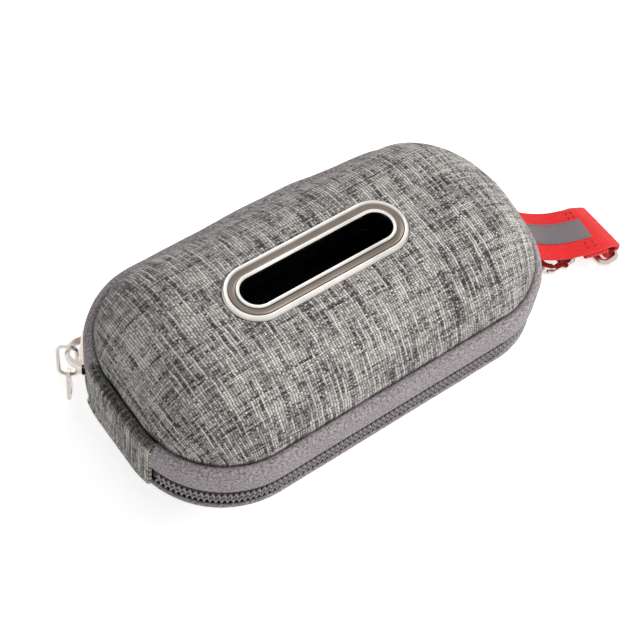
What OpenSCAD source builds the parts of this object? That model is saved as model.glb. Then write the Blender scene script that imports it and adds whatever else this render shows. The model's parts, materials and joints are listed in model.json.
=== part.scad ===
// Zipped dispenser case for a roll of pet waste bags.
// A moulded foam lid and base, covered in woven cloth, meet at a coil zip that runs round three
// sides; a cloth gusset closes the fourth side and is the hinge. Bags leave through a metal-rimmed
// slot in the crown. A webbing strap with a snap hook and a tab with a ring are sewn to one end.
// Frame: origin at the centre of the base's flat underside, +X along the length to the strap end,
// +Z up. Wall profiles are drawn as (inset from the outline, height from the zip's centre line).

/* [Case] */
// Length of the case outline
case_l = 110; // [100:1:130]
// Width of the case outline
case_w = 60.5; // [58:0.5:72]
// Corner radius of the outline
corner_r = 23.2; // [23:0.1:26]
// Height of the zip's centre line above the table
zip_z = 21.5; // [20:0.5:26]
// Height of the whole lid above the zip's centre line, without the slot rim
lid_h = 27.4; // [25:0.2:32]

/* [Walls] */
// Thickness of the woven cover cloth
cover_t = 0.8; // [0.5:0.1:1.2]
// Thickness of the moulded foam
foam_t = 2.4; // [1.6:0.1:3]
// Thickness of the lining cloth
lining_t = 0.5; // [0.3:0.1:0.8]
// Thickness of the binding tape on the foam rims
binding_t = 0.4; // [0.3:0.1:0.6]
// Half height of the foam-free gap along the zip
rim_gap = 5; // [4.4:0.2:6]
// How far the binding reaches down the inside of a wall
binding_h = 3; // [2:0.5:5]

/* [Lid shape] */
// Height of the lid's side band
band_h = 8.1; // [6:0.1:10]
// Thickness of the band cloth
band_t = 1.1; // [0.8:0.1:1.3]
// Inset of the seam between band and crown
seam_in = 2.6; // [2:0.1:3]
// Width of the rounded shoulder, measured inwards from the seam
shoulder_w = 20.4; // [18:0.2:20.4]

/* [Base shape] */
// Slope of the base's side, in degrees from upright
base_slant = 38; // [30:1:42]
// Radius between the base's side and its flat underside
base_r = 15; // [10:1:15]
// Depth of the base's band below the zip's centre line
base_band_d = 6.5; // [5.8:0.1:7.5]
// Inset of the base's seam
base_seam_in = 2.2; // [2:0.1:3.6]
// Radius of the stitched groove along the base's seam
groove_r = 0.35; // [0.2:0.05:0.5]

/* [Zip] */
// Half height of the open strip between the two bands
zip_half = 3; // [2.8:0.1:3.6]
// Height of one coil half
coil_h = 1.75; // [1.4:0.05:1.9]
// Distance from one coil turn to the next
coil_pitch = 1.3; // [1.2:0.1:2]
// Width of one coil turn along the zip
turn_w = 0.72; // [0.5:0.02:0.9]
// Inset of the coil's outer face
coil_in = 0.25; // [0.15:0.05:0.4]
// Gap between the two coil halves
coil_gap = 0.3; // [0.2:0.05:0.6]
// Thickness of the zip tape
tape_t = 0.6; // [0.4:0.1:0.8]
// Half length of the hinge gusset along the end
gusset_half = 12.7; // [10:0.1:14]
// Gap between the gusset's edges and the bands
gusset_gap = 0.2; // [0.1:0.05:0.4]

/* [Slot] */
// Length of the dispensing slot
slot_l = 40; // [34:0.2:46]
// Width of the dispensing slot
slot_w = 7.5; // [6:0.1:10]
// Position of the slot's centre along the case
slot_x = -3.1; // [-6:0.1:6]
// Width of the metal rim round the slot
rim_w = 4.05; // [3:0.05:5]
// Height of the rim's inner lip above the crown
rim_h = 1.1; // [0.8:0.1:1.6]
// Wall of the rim's tube
tube_t = 0.8; // [0.6:0.1:1.2]
// Thickness of the backing plate under the lining
plate_t = 0.7; // [0.5:0.1:1]

/* [Slider] */
// Bearing of the slider on the corner, in degrees from the corner's centre
slider_at = 142; // [138:0.5:150]
// Length of the slider
slider_l = 9.4; // [8:0.2:10]
// Half width of the slider
slider_half = 2.7; // [2.5:0.05:2.7]
// Thickness of the slider's plates
slider_t = 0.9; // [0.7:0.05:1]
// Outer radius of the slider's arched crown
crown_r = 4.4; // [4.2:0.1:4.6]
// Wire diameter of the pull link
link_d = 0.9; // [0.7:0.05:1]
// Length of the pull link below its pivot
link_l = 10; // [8:0.2:10]
// Length of the pull leaf
leaf_l = 9.8; // [7:0.1:10]
// Width of the pull leaf
leaf_w = 4.2; // [3.5:0.1:5]

/* [Webbing and ring] */
// Width of the webbing
web_w = 15; // [12:0.5:16]
// Thickness of the strap webbing
strap_t = 1.4; // [1:0.1:1.4]
// Thickness of the tab webbing
tab_t = 1; // [0.8:0.1:1]
// Width of the reflective stripe
stripe_w = 6.4; // [5:0.1:8]
// Thickness of the reflective stripe
stripe_t = 0.3; // [0.2:0.05:0.4]
// Sideways drift of the strap from its root to its hook
strap_drift = -8.6; // [-11:0.1:-7]
// Clear width inside the ring
ring_w = 19; // [17:0.5:22]
// Distance between the ring's two bars
ring_l = 8.5; // [8:0.1:8.6]
// Wire diameter of the ring
ring_d = 2.2; // [1.8:0.1:2.2]
// Sideways place of the ring on its tab
ring_y = -1.5; // [-1.8:0.1:0]

/* [Snap hook] */
// Distance from the end of the case to the centre of the hook's jaw
hook_out = 17.5; // [17:0.1:20]
// Outer radius of the hook's jaw
jaw_r = 3.9; // [3.7:0.1:4.1]
// Clear half width inside the jaw
jaw_in = 2.4; // [2.2:0.1:2.5]
// Thickness of the hook body
hook_t = 2.8; // [2.4:0.1:3.2]
// Length of the hook from its jaw's centre to the barrel's end
hook_l = 10.1; // [9.6:0.1:10.4]
// Radius of the swivel barrel
barrel_r = 2.1; // [1.8:0.1:2.4]
// Radius of the swivel stem
stem_r = 0.9; // [0.7:0.05:1]
// Radial clearance of the stem in the barrel
stem_fit = 0.05; // [0.02:0.01:0.08]
// Wire diameter of the swivel eye
eye_d = 2; // [1.6:0.1:2]
// Clear width inside the swivel eye
eye_w = 16.4; // [16.2:0.2:18]

/* [Bag roll] */
// Radius of the roll of bags
roll_r = 16; // [13:0.5:17]
// Length of the roll
roll_l = 62; // [50:1:66]
// Radius of the cardboard core
core_r = 6.5; // [5:0.5:8]
// Wall of the cardboard core
core_t = 1; // [0.8:0.1:1.5]
// Gap that keeps resting pieces apart
seat_gap = 0.3; // [0.2:0.05:0.4]

/* [Hidden] */
$fn = 96;

half_l = case_l / 2;
half_w = case_w / 2;
run_x = case_l - 2 * corner_r;
run_y = case_w - 2 * corner_r;
seam_h = zip_half + band_h;
crown_rise = lid_h - seam_h;
crown_arc_r = (pow(shoulder_w, 2) + pow(crown_rise, 2)) / (2 * crown_rise);
crown_u = seam_in + shoulder_w;
crown_z = lid_h - crown_arc_r;
tape_in = band_t;
layer_in = band_t + tape_t;
wall_t = cover_t + foam_t;
inner_t = wall_t + lining_t;
base_cz = base_r - zip_z;
base_cu = base_seam_in + (base_r - (base_cz + base_band_d) * sin(base_slant)) / cos(base_slant);
big = 80;
slack = 0.01;

// Strap and hook layout along the end
hook_z = 2.8;
hook_x = half_l + hook_out;
hook_y = strap_drift;
webbing_in = base_seam_in + 0.6;
root_x = half_l - webbing_in;
root_shift = webbing_in - 4;
strap_root_z = zip_z - 5.2;
tab_root_z = zip_z - base_band_d;
ring_x = half_l + 3.5;
ring_z = ring_d / 2 + tab_t + 0.7;
ring_tilt = asin((ring_z - ring_d / 2 - 0.2) / ring_l);
eye_x = hook_x + hook_l + 6.4;
eye_front_x = hook_x + hook_l + eye_d / 2 + 0.2;
strap_span = eye_x - root_x;

// ---------------------------------------------------------------- outline and wall sweeps

// Carries a wall profile, drawn as (inset, height), round the whole outline.
module around() {
    for (turn = [0, 180])
        rotate([0, 0, turn])
            translate([-run_x / 2, -half_w, zip_z])
                rotate([90, 0, 90])
                    linear_extrude(run_x)
                        children();
    for (turn = [0, 180])
        rotate([0, 0, turn])
            translate([half_l - corner_r, run_y / 2, zip_z])
                rotate([90, 0, 0])
                    linear_extrude(run_y)
                        from_corner() children();
    for (ex = [-1, 1], ey = [-1, 1])
        translate([ex * run_x / 2, ey * run_y / 2, zip_z])
            rotate([0, 0, ex > 0 ? (ey > 0 ? 0 : 270) : (ey > 0 ? 90 : 180)])
                rotate_extrude(angle = 90)
                    from_corner() children();
}

// The part of a profile between the corner's centre and the outline, drawn outwards from there.
module from_corner() {
    intersection() {
        translate([corner_r, 0])
            mirror([1, 0])
                children();
        translate([0, -big])
            square([corner_r, 2 * big]);
    }
}

// Keeps the part of a profile between two heights, up to the middle of the case.
module level(low, high) {
    intersection() {
        children();
        translate([0, low])
            square([half_w, high - low]);
    }
}

// Everything inside the lid's crown, at a depth below the cloth's face.
module crown_inside(depth) {
    r = crown_arc_r - depth;
    intersection() {
        translate([crown_u, crown_z])
            circle(r);
        translate([0, crown_z])
            square([crown_u, big]);
    }
    translate([crown_u - r, 0])
        square([r + slack, crown_z]);
    translate([crown_u, 0])
        square([half_w - crown_u, lid_h - depth]);
}

// Everything inside the base's bowl, at a depth below the cloth's face.
module bowl_inside(depth) {
    r = base_r - depth;
    translate([base_cu, base_cz])
        circle(r);
    translate([base_cu, base_cz])
        rotate(base_slant)
            translate([-r, 0])
                square([r + half_w, 2 * base_r]);
    translate([base_cu, depth - zip_z])
        square([half_w - base_cu, zip_z]);
}

// The band cloth of the lid: folded under at the zip and turned in at the seam.
module lid_band_profile() {
    translate([seam_in, seam_h - seam_in])
        intersection() {
            difference() {
                circle(seam_in);
                circle(seam_in - band_t);
            }
            translate([-seam_in, 0])
                square(seam_in);
        }
    translate([0, zip_half + band_t])
        square([band_t, band_h - band_t - seam_in]);
    translate([band_t, zip_half + band_t])
        intersection() {
            circle(band_t);
            translate([-band_t, -band_t])
                square(band_t);
        }
}

// The band cloth of the base: one sloping strip with a rounded fold beside the zip.
module base_band_profile() {
    level(-base_band_d, -zip_half - band_t / 2)
        difference() {
            bowl_inside(0);
            bowl_inside(band_t);
        }
    translate([base_line(-zip_half - band_t / 2) + band_t / 2 / cos(base_slant), -zip_half - band_t / 2])
        circle(band_t / 2);
}

// Inset of the base's sloping face at a height.
function base_line(z) = base_seam_in - (z + base_band_d) * tan(base_slant);

// ---------------------------------------------------------------- cut-outs

// A slot-shaped prism; grow widens it all round.
module slot_prism(grow, low, high) {
    translate([slot_x, 0, low])
        linear_extrude(high - low)
            stadium(slot_l + 2 * grow, slot_w + 2 * grow);
}

module stadium(l, w) {
    square([l - w, w], center = true);
    for (s = [-1, 1])
        translate([s * (l - w) / 2, 0])
            circle(w / 2);
}

// The end of the case that the gusset covers.
module gusset_zone(extra) {
    translate([-half_l - 1, -gusset_half - extra, -1])
        cube([corner_r, 2 * (gusset_half + extra), 3 * zip_z]);
}

// The slit through the base's seam where strap and tab are sewn in.
module webbing_slit() {
    low = tab_root_z - tab_t * 1.5 - 0.3;
    high = strap_root_z + strap_t / 2 + 0.15;
    translate([root_x - 0.3, -web_w / 2 - 0.25, low])
        cube([10, web_w + 0.5, high - low]);
}

// Moves a piece from the slider's own axes (x out, y along the zip) to its place on the corner.
module at_slider() {
    translate([-run_x / 2, run_y / 2, zip_z])
        rotate([0, 0, slider_at])
            translate([corner_r, 0, 0])
                children();
}

// ---------------------------------------------------------------- lid

module lid_cover() {
    color("#8c8a86")
        difference() {
            around()
                level(seam_h, lid_h)
                    difference() {
                        crown_inside(0);
                        crown_inside(cover_t);
                    }
            slot_prism(tube_t + 0.1, zip_z, zip_z + 2 * lid_h);
        }
}

module lid_shell() {
    color("#3a3a3c")
        difference() {
            around()
                difference() {
                    union() {
                        level(seam_h, lid_h)
                            crown_inside(cover_t);
                        translate([layer_in, rim_gap])
                            square([crown_u - layer_in, seam_h - seam_in - rim_gap]);
                        level(rim_gap, seam_h)
                            intersection() {
                                translate([seam_in, seam_h - seam_in])
                                    circle(seam_in - band_t);
                                translate([layer_in, 0])
                                    square(big);
                            }
                        translate([seam_in, rim_gap])
                            square([crown_u - seam_in, seam_h - band_t - rim_gap]);
                        translate([seam_in + cover_t, rim_gap])
                            square([crown_u - seam_in - cover_t, seam_h - rim_gap]);
                    }
                    crown_inside(wall_t);
                }
            slot_prism(tube_t + 0.1, zip_z, zip_z + 2 * lid_h);
        }
}

module lid_lining() {
    color("#1b1b1d")
        difference() {
            around()
                level(rim_gap, lid_h)
                    difference() {
                        crown_inside(wall_t);
                        crown_inside(inner_t);
                    }
            slot_prism(tube_t + 0.1, zip_z, zip_z + 2 * lid_h);
        }
}

module lid_binding() {
    color("#2a2a2c")
        around() {
            translate([layer_in, rim_gap - binding_t])
                square([crown_u - crown_arc_r + inner_t + binding_t - layer_in, binding_t]);
            translate([crown_u - crown_arc_r + inner_t, rim_gap])
                square([binding_t, min(binding_h, crown_z - rim_gap)]);
        }
}

module lid_band() {
    color("#96909a")
        difference() {
            around() lid_band_profile();
            gusset_zone(gusset_gap);
        }
}

module lid_zip_tape() {
    color("#77727a")
        difference() {
            around()
                translate([tape_in, coil_gap / 2 + coil_h - 0.1])
                    square([tape_t, seam_h - seam_in - coil_gap / 2 - coil_h + 0.1]);
            gusset_zone(gusset_gap);
            at_slider()
                translate([-4, -slider_l / 2 - 1.5, 0])
                    cube([6, slider_l + 6, zip_half + 0.4]);
        }
}

module lid_zip_coil() {
    color("#6d6a72")
        translate([0, 0, zip_z + coil_gap / 2])
            linear_extrude(coil_h)
                coil_comb(0);
}

// ---------------------------------------------------------------- zip coil

coil_in_start = slider_at - 2;
arc_len = corner_r * PI / 180;
// Stretches of the closed zip from the slider round to the front end of the gusset, as
// [kind, length, start bearing, x of centre or start, y of centre or start].
front_bearing = 180 + asin((gusset_half + gusset_gap - run_y / 2) / corner_r);
stretches = [
    ["arc", (coil_in_start - 90) * arc_len, coil_in_start, -run_x / 2, run_y / 2],
    ["line", run_x, 90, -run_x / 2, half_w],
    ["arc", 90 * arc_len, 90, run_x / 2, run_y / 2],
    ["line", run_y, 0, half_l, run_y / 2],
    ["arc", 90 * arc_len, 0, run_x / 2, -run_y / 2],
    ["line", run_x, -90, run_x / 2, -half_w],
    ["arc", (270 - front_bearing) * arc_len, -90, -run_x / 2, -run_y / 2],
];
function ends(i) = i < 0 ? 0 : ends(i - 1) + stretches[i][1];
zip_len = ends(len(stretches) - 1);
function stretch_of(d, i = 0) = i == len(stretches) - 1 || d <= ends(i) ? i : stretch_of(d, i + 1);
// The point at distance d along the zip, inset from the outline.
function zip_point(d, inset) =
    let (i = stretch_of(d), s = stretches[i], t = d - ends(i - 1))
    s[0] == "arc"
        ? let (a = s[2] - t / arc_len) [s[3] + (corner_r - inset) * cos(a), s[4] + (corner_r - inset) * sin(a)]
        : [s[3] + t * sin(s[2]) - inset * cos(s[2]), s[4] - t * cos(s[2]) - inset * sin(s[2])];

// The coil seen from above: a core with one tooth for each turn, shifted by half a turn on the base.
module coil_comb(shift) {
    turns = floor(zip_len / coil_pitch) - 1;
    tooth = [for (i = [0 : turns - 1], k = [0 : 3])
        let (start = (i + shift) * coil_pitch + 0.2)
        zip_point(start + (k < 2 ? 0 : turn_w), k == 0 || k == 3 ? coil_in + 0.45 : coil_in)];
    core = [for (i = [turns : -1 : 0]) zip_point((i + shift) * coil_pitch + 0.2, tape_in)];
    polygon(concat(tooth, core));
}

// ---------------------------------------------------------------- slot rim

// Carries a profile, drawn as (distance out from the slot's edge, height), round the slot.
module around_slot() {
    for (s = [-1, 1]) {
        translate([slot_x + s * (slot_l - slot_w) / 2, 0, zip_z + lid_h])
            rotate([0, 0, -90 * s])
                rotate_extrude(angle = 180)
                    translate([slot_w / 2, 0])
                        children();
        translate([slot_x - s * (slot_l - slot_w) / 2, s * slot_w / 2, zip_z + lid_h])
            rotate([90, 0, s > 0 ? 90 : -90])
                linear_extrude(slot_l - slot_w)
                    children();
    }
}

// The crown falls away under the rim's edge, so the backing plate hangs lower by this much.
edge_over = max(0, crown_u - min(half_w - slot_w / 2, half_l - abs(slot_x) - slot_l / 2) + rim_w);
plate_z = inner_t + crown_arc_r - inner_t - sqrt(pow(crown_arc_r - inner_t, 2) - pow(edge_over, 2));
foot_t = 0.5;
tube_foot = plate_z + plate_t + foot_t;
bead_r = 0.4;

module slot_rim() {
    lip = rim_h / 2;
    color("#b9b4ac")
        around_slot() {
            translate([0, -tube_foot])
                square([tube_t, tube_foot + rim_h - lip]);
            translate([lip, rim_h - lip])
                circle(lip);
            square([rim_w - 0.45, 0.45]);
            translate([rim_w - 0.45, 0])
                intersection() {
                    circle(0.45);
                    translate([-1, 0])
                        square(2);
                }
            translate([rim_w - 1, bead_r + 0.05])
                circle(bead_r);
            translate([0, -tube_foot])
                square([tube_t + 1.4, foot_t]);
        }
}

module rim_backing_plate() {
    color("#6f6c68")
        difference() {
            slot_prism(rim_w, zip_z + lid_h - plate_z - plate_t, zip_z + lid_h - plate_z);
            slot_prism(tube_t + 0.1, zip_z, zip_z + 2 * lid_h);
        }
}

// ---------------------------------------------------------------- base

module base_cover() {
    color("#8c8a86")
        difference() {
            around()
                difference() {
                    level(-zip_z, -base_band_d)
                        difference() {
                            bowl_inside(0);
                            bowl_inside(cover_t);
                        }
                    translate([base_seam_in, -base_band_d])
                        circle(groove_r);
                }
            webbing_slit();
        }
}

module base_shell() {
    color("#3a3a3c")
        around()
            difference() {
                union() {
                    level(-zip_z, -base_band_d)
                        bowl_inside(cover_t);
                    level(-base_band_d - slack, -rim_gap)
                        bowl_inside(layer_in);
                }
                bowl_inside(wall_t);
            }
}

module base_lining() {
    color("#1b1b1d")
        around()
            level(-zip_z, -rim_gap)
                difference() {
                    bowl_inside(wall_t);
                    bowl_inside(inner_t);
                }
}

module base_binding() {
    color("#2a2a2c")
        around()
            difference() {
                union() {
                    level(-rim_gap, -rim_gap + binding_t)
                        bowl_inside(layer_in);
                    level(-rim_gap - binding_h, -rim_gap)
                        bowl_inside(inner_t);
                }
                bowl_inside(inner_t + binding_t);
            }
}

module base_band() {
    color("#96909a")
        difference() {
            around()
                difference() {
                    base_band_profile();
                    translate([base_seam_in, -base_band_d])
                        circle(groove_r);
                }
            gusset_zone(gusset_gap);
            webbing_slit();
        }
}

module base_zip_tape() {
    crease = base_line(-zip_half) + layer_in / cos(base_slant);
    color("#77727a")
        difference() {
            around() {
                translate([tape_in, -zip_half])
                    square([tape_t, zip_half - coil_gap / 2 - coil_h + 0.1]);
                translate([tape_in, -zip_half])
                    square([crease - tape_in, tape_t]);
                level(-base_band_d + 0.5, -zip_half)
                    difference() {
                        bowl_inside(band_t);
                        bowl_inside(layer_in);
                    }
            }
            gusset_zone(gusset_gap);
            webbing_slit();
        }
}

module base_zip_coil() {
    color("#6d6a72")
        translate([0, 0, zip_z - coil_gap / 2 - coil_h])
            linear_extrude(coil_h)
                coil_comb(0.5);
}

// The hinge cloth spans both bands at the end, from the lid's seam to the base's.
module hinge_gusset() {
    color("#8c8a86")
        intersection() {
            around() {
                lid_band_profile();
                translate([0, base_line_top()])
                    square([band_t, zip_half + 2 * band_t - base_line_top()]);
                level(-base_band_d + groove_r, base_line_top() + band_t * 0.7)
                    difference() {
                        bowl_inside(0);
                        bowl_inside(band_t);
                    }
            }
            gusset_zone(0);
        }
}

// Height at which the base's sloping face reaches the outline.
function base_line_top() = base_seam_in / tan(base_slant) - base_band_d;

// ---------------------------------------------------------------- slider and pull

plate_out = 0.15;
flange_in = band_t - 0.2;
inner_face = layer_in + 0.8;
// The inner plate clears the fold of the base's tape, and the blade that joins both plates runs
// between the two halves of the coil.
inner_half = min(slider_half, zip_half - tape_t - 0.2);
blade_fit = 0.05;

module slider_body() {
    color("#c9c4ba")
        at_slider() {
            translate([plate_out, 0, 0])
                slider_plate(slider_t, slider_half);
            for (s = [-1, 1])
                translate([-flange_in, -slider_l / 2 + 0.6, s > 0 ? slider_half - 0.6 : -slider_half])
                    cube([flange_in + plate_out + slack, slider_l - 1.2, 0.6]);
            translate([-inner_face - slider_t, 0, 0])
                slider_plate(slider_t, inner_half);
            translate([-inner_face - slack, slider_l / 2 - 3.9, -coil_gap / 2 + blade_fit])
                cube([inner_face + plate_out + 2 * slack, 2.6, coil_gap - 2 * blade_fit]);
        }
}

// One plate of the slider: a rounded shield, wider at the end that parts the zip.
module slider_plate(t, half) {
    rotate([90, 0, 90])
        linear_extrude(t)
            intersection() {
                square([slider_l, 2 * half], center = true);
                union() {
                    translate([slider_l / 2 - 3.4, 0])
                        circle(3.4);
                    translate([-slider_l / 2, -slider_half])
                        square([slider_l - 3.4, 2 * slider_half]);
                }
            }
}

crown_y = -0.4;
bridge_half = 1.5;
bridge_t = 1;
pivot_out = plate_out + slider_t - 0.9 + crown_r - bridge_t / 2;

// The crown bridges the slider from end to end: a half turn of a domed section.
module slider_crown() {
    dome_r = (pow(bridge_half, 2) + pow(bridge_t, 2)) / (2 * bridge_t);
    color("#bdb7ab")
        at_slider()
            translate([plate_out + slider_t - 0.9, crown_y, 0])
                intersection() {
                    rotate([0, 0, -90])
                        rotate_extrude(angle = 180)
                            intersection() {
                                translate([crown_r - dome_r, 0])
                                    circle(dome_r);
                                translate([crown_r - bridge_t, -bridge_half])
                                    square([bridge_t, 2 * bridge_half]);
                            }
                    translate([0.9, -2 * crown_r, -crown_r])
                        cube([2 * crown_r, 4 * crown_r, 2 * crown_r]);
                }
}

link_eye = 2.2;
leaf_out = pivot_out;

// A closed wire loop in the plane of x and y: straight bars joined by bends of one radius.
module wire_ring(length, width, bend, d) {
    for (turn = [0, 1], side = [0, 1])
        rotate([0, 0, 180 * turn])
            mirror([0, side, 0])
                translate([length / 2 - bend, width / 2 - bend, 0])
                    rotate_extrude(angle = 90)
                        translate([bend, 0])
                            circle(d = d, $fn = 48);
    for (side = [-1, 1]) {
        translate([-length / 2 + bend, side * width / 2, 0])
            rotate([0, 90, 0])
                cylinder(h = length - 2 * bend, d = d, $fn = 48);
        translate([side * length / 2, -width / 2 + bend, 0])
            rotate([-90, 0, 0])
                cylinder(h = width - 2 * bend, d = d, $fn = 48);
    }
}

module pull_link() {
    color("#c9c4ba")
        at_slider()
            translate([pivot_out, crown_y, link_eye - (link_l + link_eye) / 2])
                rotate([90, 90, 0])
                    wire_ring(link_l + link_eye, 2 * link_eye, link_eye - 0.1, link_d);
}

module pull_leaf() {
    color("#c9c4ba")
        at_slider()
            translate([leaf_out - 0.4, crown_y, -link_l])
                rotate([90, 0, 90])
                    linear_extrude(0.8)
                        difference() {
                            union() {
                                translate([0, -0.6])
                                    circle(leaf_w / 2 - 0.3);
                                translate([-leaf_w / 2 + 0.6, -leaf_l + 2])
                                    square([leaf_w - 1.2, leaf_l - 2.6]);
                                translate([0, -leaf_l + 2.2])
                                    circle(leaf_w / 2);
                            }
                            circle(link_d / 2 + 0.3);
                            translate([0, -leaf_l + 2.2])
                                circle(leaf_w / 2 - 1.3);
                        }
}

// ---------------------------------------------------------------- webbing

// A smooth curve through hand-placed points: steps spans between each pair.
function spline(p, steps) = [for (i = [0 : len(p) - 2], k = [0 : steps - 1])
    let (t = k / steps, a = p[max(i - 1, 0)], b = p[i], c = p[i + 1], d = p[min(i + 2, len(p) - 1)])
    0.5 * (2 * b + (c - a) * t + (2 * a - 5 * b + 4 * c - d) * t * t + (3 * b - a - 3 * c + d) * t * t * t)];
function closed_spline(p, steps) = concat(spline(p, steps), [p[len(p) - 1]]);

// Sideways drift at a distance from the root: level at both ends, steepest halfway.
drift_span = strap_span - 2;
function drift(s, amount) = amount * (1 - cos(180 * min(max(s / drift_span, 0), 1))) / 2;
function drift_turn(s, amount) =
    atan(amount * 90 * PI / 180 / drift_span * sin(180 * min(max(s / drift_span, 0), 1)));

// A flat band of webbing along a side-view path of (distance out, height), standing off the path
// by lift, and drifting sideways.
module webbing(path, width, t, lift, amount) {
    n = len(path);
    ring = [for (i = [0 : n - 1])
        let (a = path[max(i - 1, 0)], b = path[min(i + 1, n - 1)], dir = (b - a) / norm(b - a),
            up = [-dir[1], dir[0]])
        for (k = [0 : 3])
            let (off = lift + (k == 0 || k == 1 ? -t / 2 : t / 2), side = (k == 0 || k == 3 ? -1 : 1) * width / 2,
                q = path[i] + up * off, turn = drift_turn(path[i][0], amount))
            [root_x + q[0] - side * sin(turn), drift(path[i][0], amount) + side * cos(turn), q[1]]];
    faces = concat([[0, 1, 2, 3]], [[4 * n - 1, 4 * n - 2, 4 * n - 3, 4 * n - 4]],
        [for (i = [0 : n - 2], k = [0 : 3]) let (a = 4 * i + k, b = 4 * i + (k + 1) % 4) [a, a + 4, b]],
        [for (i = [0 : n - 2], k = [0 : 3]) let (a = 4 * i + k, b = 4 * i + (k + 1) % 4) [b, a + 4, b + 4]]);
    polyhedron(points = ring, faces = faces);
}

// Route of the strap: out of the seam, over, down round the swivel eye and back under itself.
wrap_r = eye_d / 2 + strap_t / 2 + 0.3;
strap_route = concat(
    [[0, strap_root_z]],
    [for (p = [[4, 0], [8, -0.8], [12, -2.4], [16, -5.1], [20, -6.8], [24, -7.7]])
        [p[0] + root_shift, strap_root_z + p[1]]],
    [[strap_span - 9.6, hook_z + 5.4], [strap_span - 5, hook_z + 4.7], [strap_span - 2, hook_z + 3.7]],
    [for (a = [50, 10, -30, -75, -120, -165]) [strap_span + wrap_r * cos(a), hook_z + wrap_r * sin(a)]],
    [[strap_span - 2.3, hook_z + 1.5], [strap_span - 4, hook_z + 2.6], [strap_span - 6.5, hook_z + 3.2],
        [strap_span - 8.6, hook_z + 3.6]]);
strap_path = closed_spline(strap_route, 4);

// The stripe starts where the strap has left the base's seam and ends short of the swivel eye.
stripe_start = half_l - root_x - base_line(strap_root_z + strap_t / 2 - zip_z) + 0.6;
stripe_path = concat([[stripe_start, strap_root_z]], [for (i = [4 : 32]) if (strap_path[i][0] > stripe_start + 0.5) strap_path[i]]);

module strap_webbing() {
    color("#c8202a")
        webbing(strap_path, web_w, strap_t, 0, strap_drift);
}

module reflective_stripe() {
    color("#77767a")
        webbing(stripe_path, stripe_w, stripe_t, strap_t / 2 + stripe_t / 2 + 0.08, strap_drift);
}

tab_wrap = ring_d / 2 + tab_t / 2 + 0.15;
tab_route = concat(
    [[0.1, tab_root_z]],
    [for (p = [[2.6, -0.2], [6, -2.6], [8.6, -6.6]]) [p[0] + root_shift, tab_root_z + p[1]]],
    [for (a = [15, -35, -90, -145, -195]) [ring_x - root_x + tab_wrap * cos(a), ring_z + tab_wrap * sin(a)]],
    [for (p = [[5, -6.6], [3.2, -2.9], [1.9, -1.3]]) [p[0] + root_shift, tab_root_z + p[1]]],
    [[0.1, tab_root_z - 1.15]]);

module ring_tab() {
    color("#a11c26")
        webbing(closed_spline(tab_route, 4), web_w, tab_t, 0, 0);
}

// ---------------------------------------------------------------- ring and snap hook

module tab_ring() {
    color("#c9c4ba")
        translate([ring_x, ring_y, ring_z])
            rotate([0, ring_tilt, 0])
                translate([ring_l / 2, 0, 0])
                    wire_ring(ring_l, ring_w + ring_d, ring_d * 0.8, ring_d);
}

gate_pivot = [5.4, -3.1];
gate_tip = -2;
gate_r = 0.8;
head_x = hook_l - 4.4;

module swivel_eye() {
    color("#c9c4ba")
        translate([0, hook_y, hook_z]) {
            translate([(eye_front_x + eye_x) / 2, 0, 0])
                wire_ring(eye_x - eye_front_x, eye_w + eye_d, eye_d * 0.8, eye_d);
            translate([hook_x + head_x, 0, 0])
                rotate([0, 90, 0]) {
                    cylinder(h = eye_front_x - hook_x - head_x, r = stem_r);
                    cylinder(h = 0.9, r = stem_r + 0.5);
                }
        }
}

module hook_body() {
    color("#bdb7ab")
        translate([hook_x, hook_y, hook_z])
            difference() {
                union() {
                    translate([0, 0, -hook_t / 2])
                        linear_extrude(hook_t)
                            difference() {
                                union() {
                                    circle(jaw_r);
                                    translate([0, -jaw_r])
                                        square([5.6, 2 * jaw_r]);
                                    translate([5.6, -jaw_r + 1.3])
                                        square([hook_l - 3 - 5.6, 2 * jaw_r - 2.6]);
                                    for (s = [-1, 1])
                                        translate([5.6, s * (jaw_r - 1.3)])
                                            circle(1.3);
                                }
                                circle(jaw_in);
                                translate([0, -jaw_in])
                                    square([3.4 - jaw_in + 1, 2 * jaw_in]);
                                translate([-1.2, -jaw_r - 1])
                                    square([5.2, jaw_r - jaw_in + 1.2]);
                            }
                    translate([hook_l - 3.2, 0, 0])
                        rotate([0, 90, 0])
                            cylinder(h = 3.2, r = barrel_r);
                }
                translate([-3, -jaw_r - 1, -0.65])
                    cube([7.9, jaw_r + 0.7, 1.3]);
                translate([4.8, -jaw_r - 1, -0.65])
                    cube([1.8, jaw_r - 0.9, 1.3]);
                translate([gate_pivot[0], gate_pivot[1], -hook_t])
                    cylinder(h = 2 * hook_t, r = 0.5);
                translate([head_x - 0.3, 0, 0])
                    rotate([0, 90, 0])
                        cylinder(h = 1.4, r = stem_r + 0.8);
                translate([head_x, 0, 0])
                    rotate([0, 90, 0])
                        cylinder(h = hook_l, r = stem_r + stem_fit);
            }
}

module hook_gate() {
    color("#c9c4ba")
        translate([hook_x, hook_y, hook_z - 0.5])
            linear_extrude(1)
                difference() {
                    union() {
                        translate([gate_tip, gate_pivot[1]])
                            circle(gate_r);
                        translate([gate_tip, gate_pivot[1] - gate_r])
                            square([gate_pivot[0] - gate_tip, 2 * gate_r]);
                        translate(gate_pivot)
                            circle(gate_r);
                        translate([2.2, gate_pivot[1] - 0.8])
                            circle(0.9);
                    }
                    translate(gate_pivot)
                        circle(0.55);
                }
}

module gate_pin() {
    color("#8d8880")
        translate([hook_x + gate_pivot[0], hook_y + gate_pivot[1], hook_z - hook_t / 2])
            cylinder(h = hook_t, r = 0.5);
}

// ---------------------------------------------------------------- roll of bags

roll_z = inner_t + seat_gap + roll_r;

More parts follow.
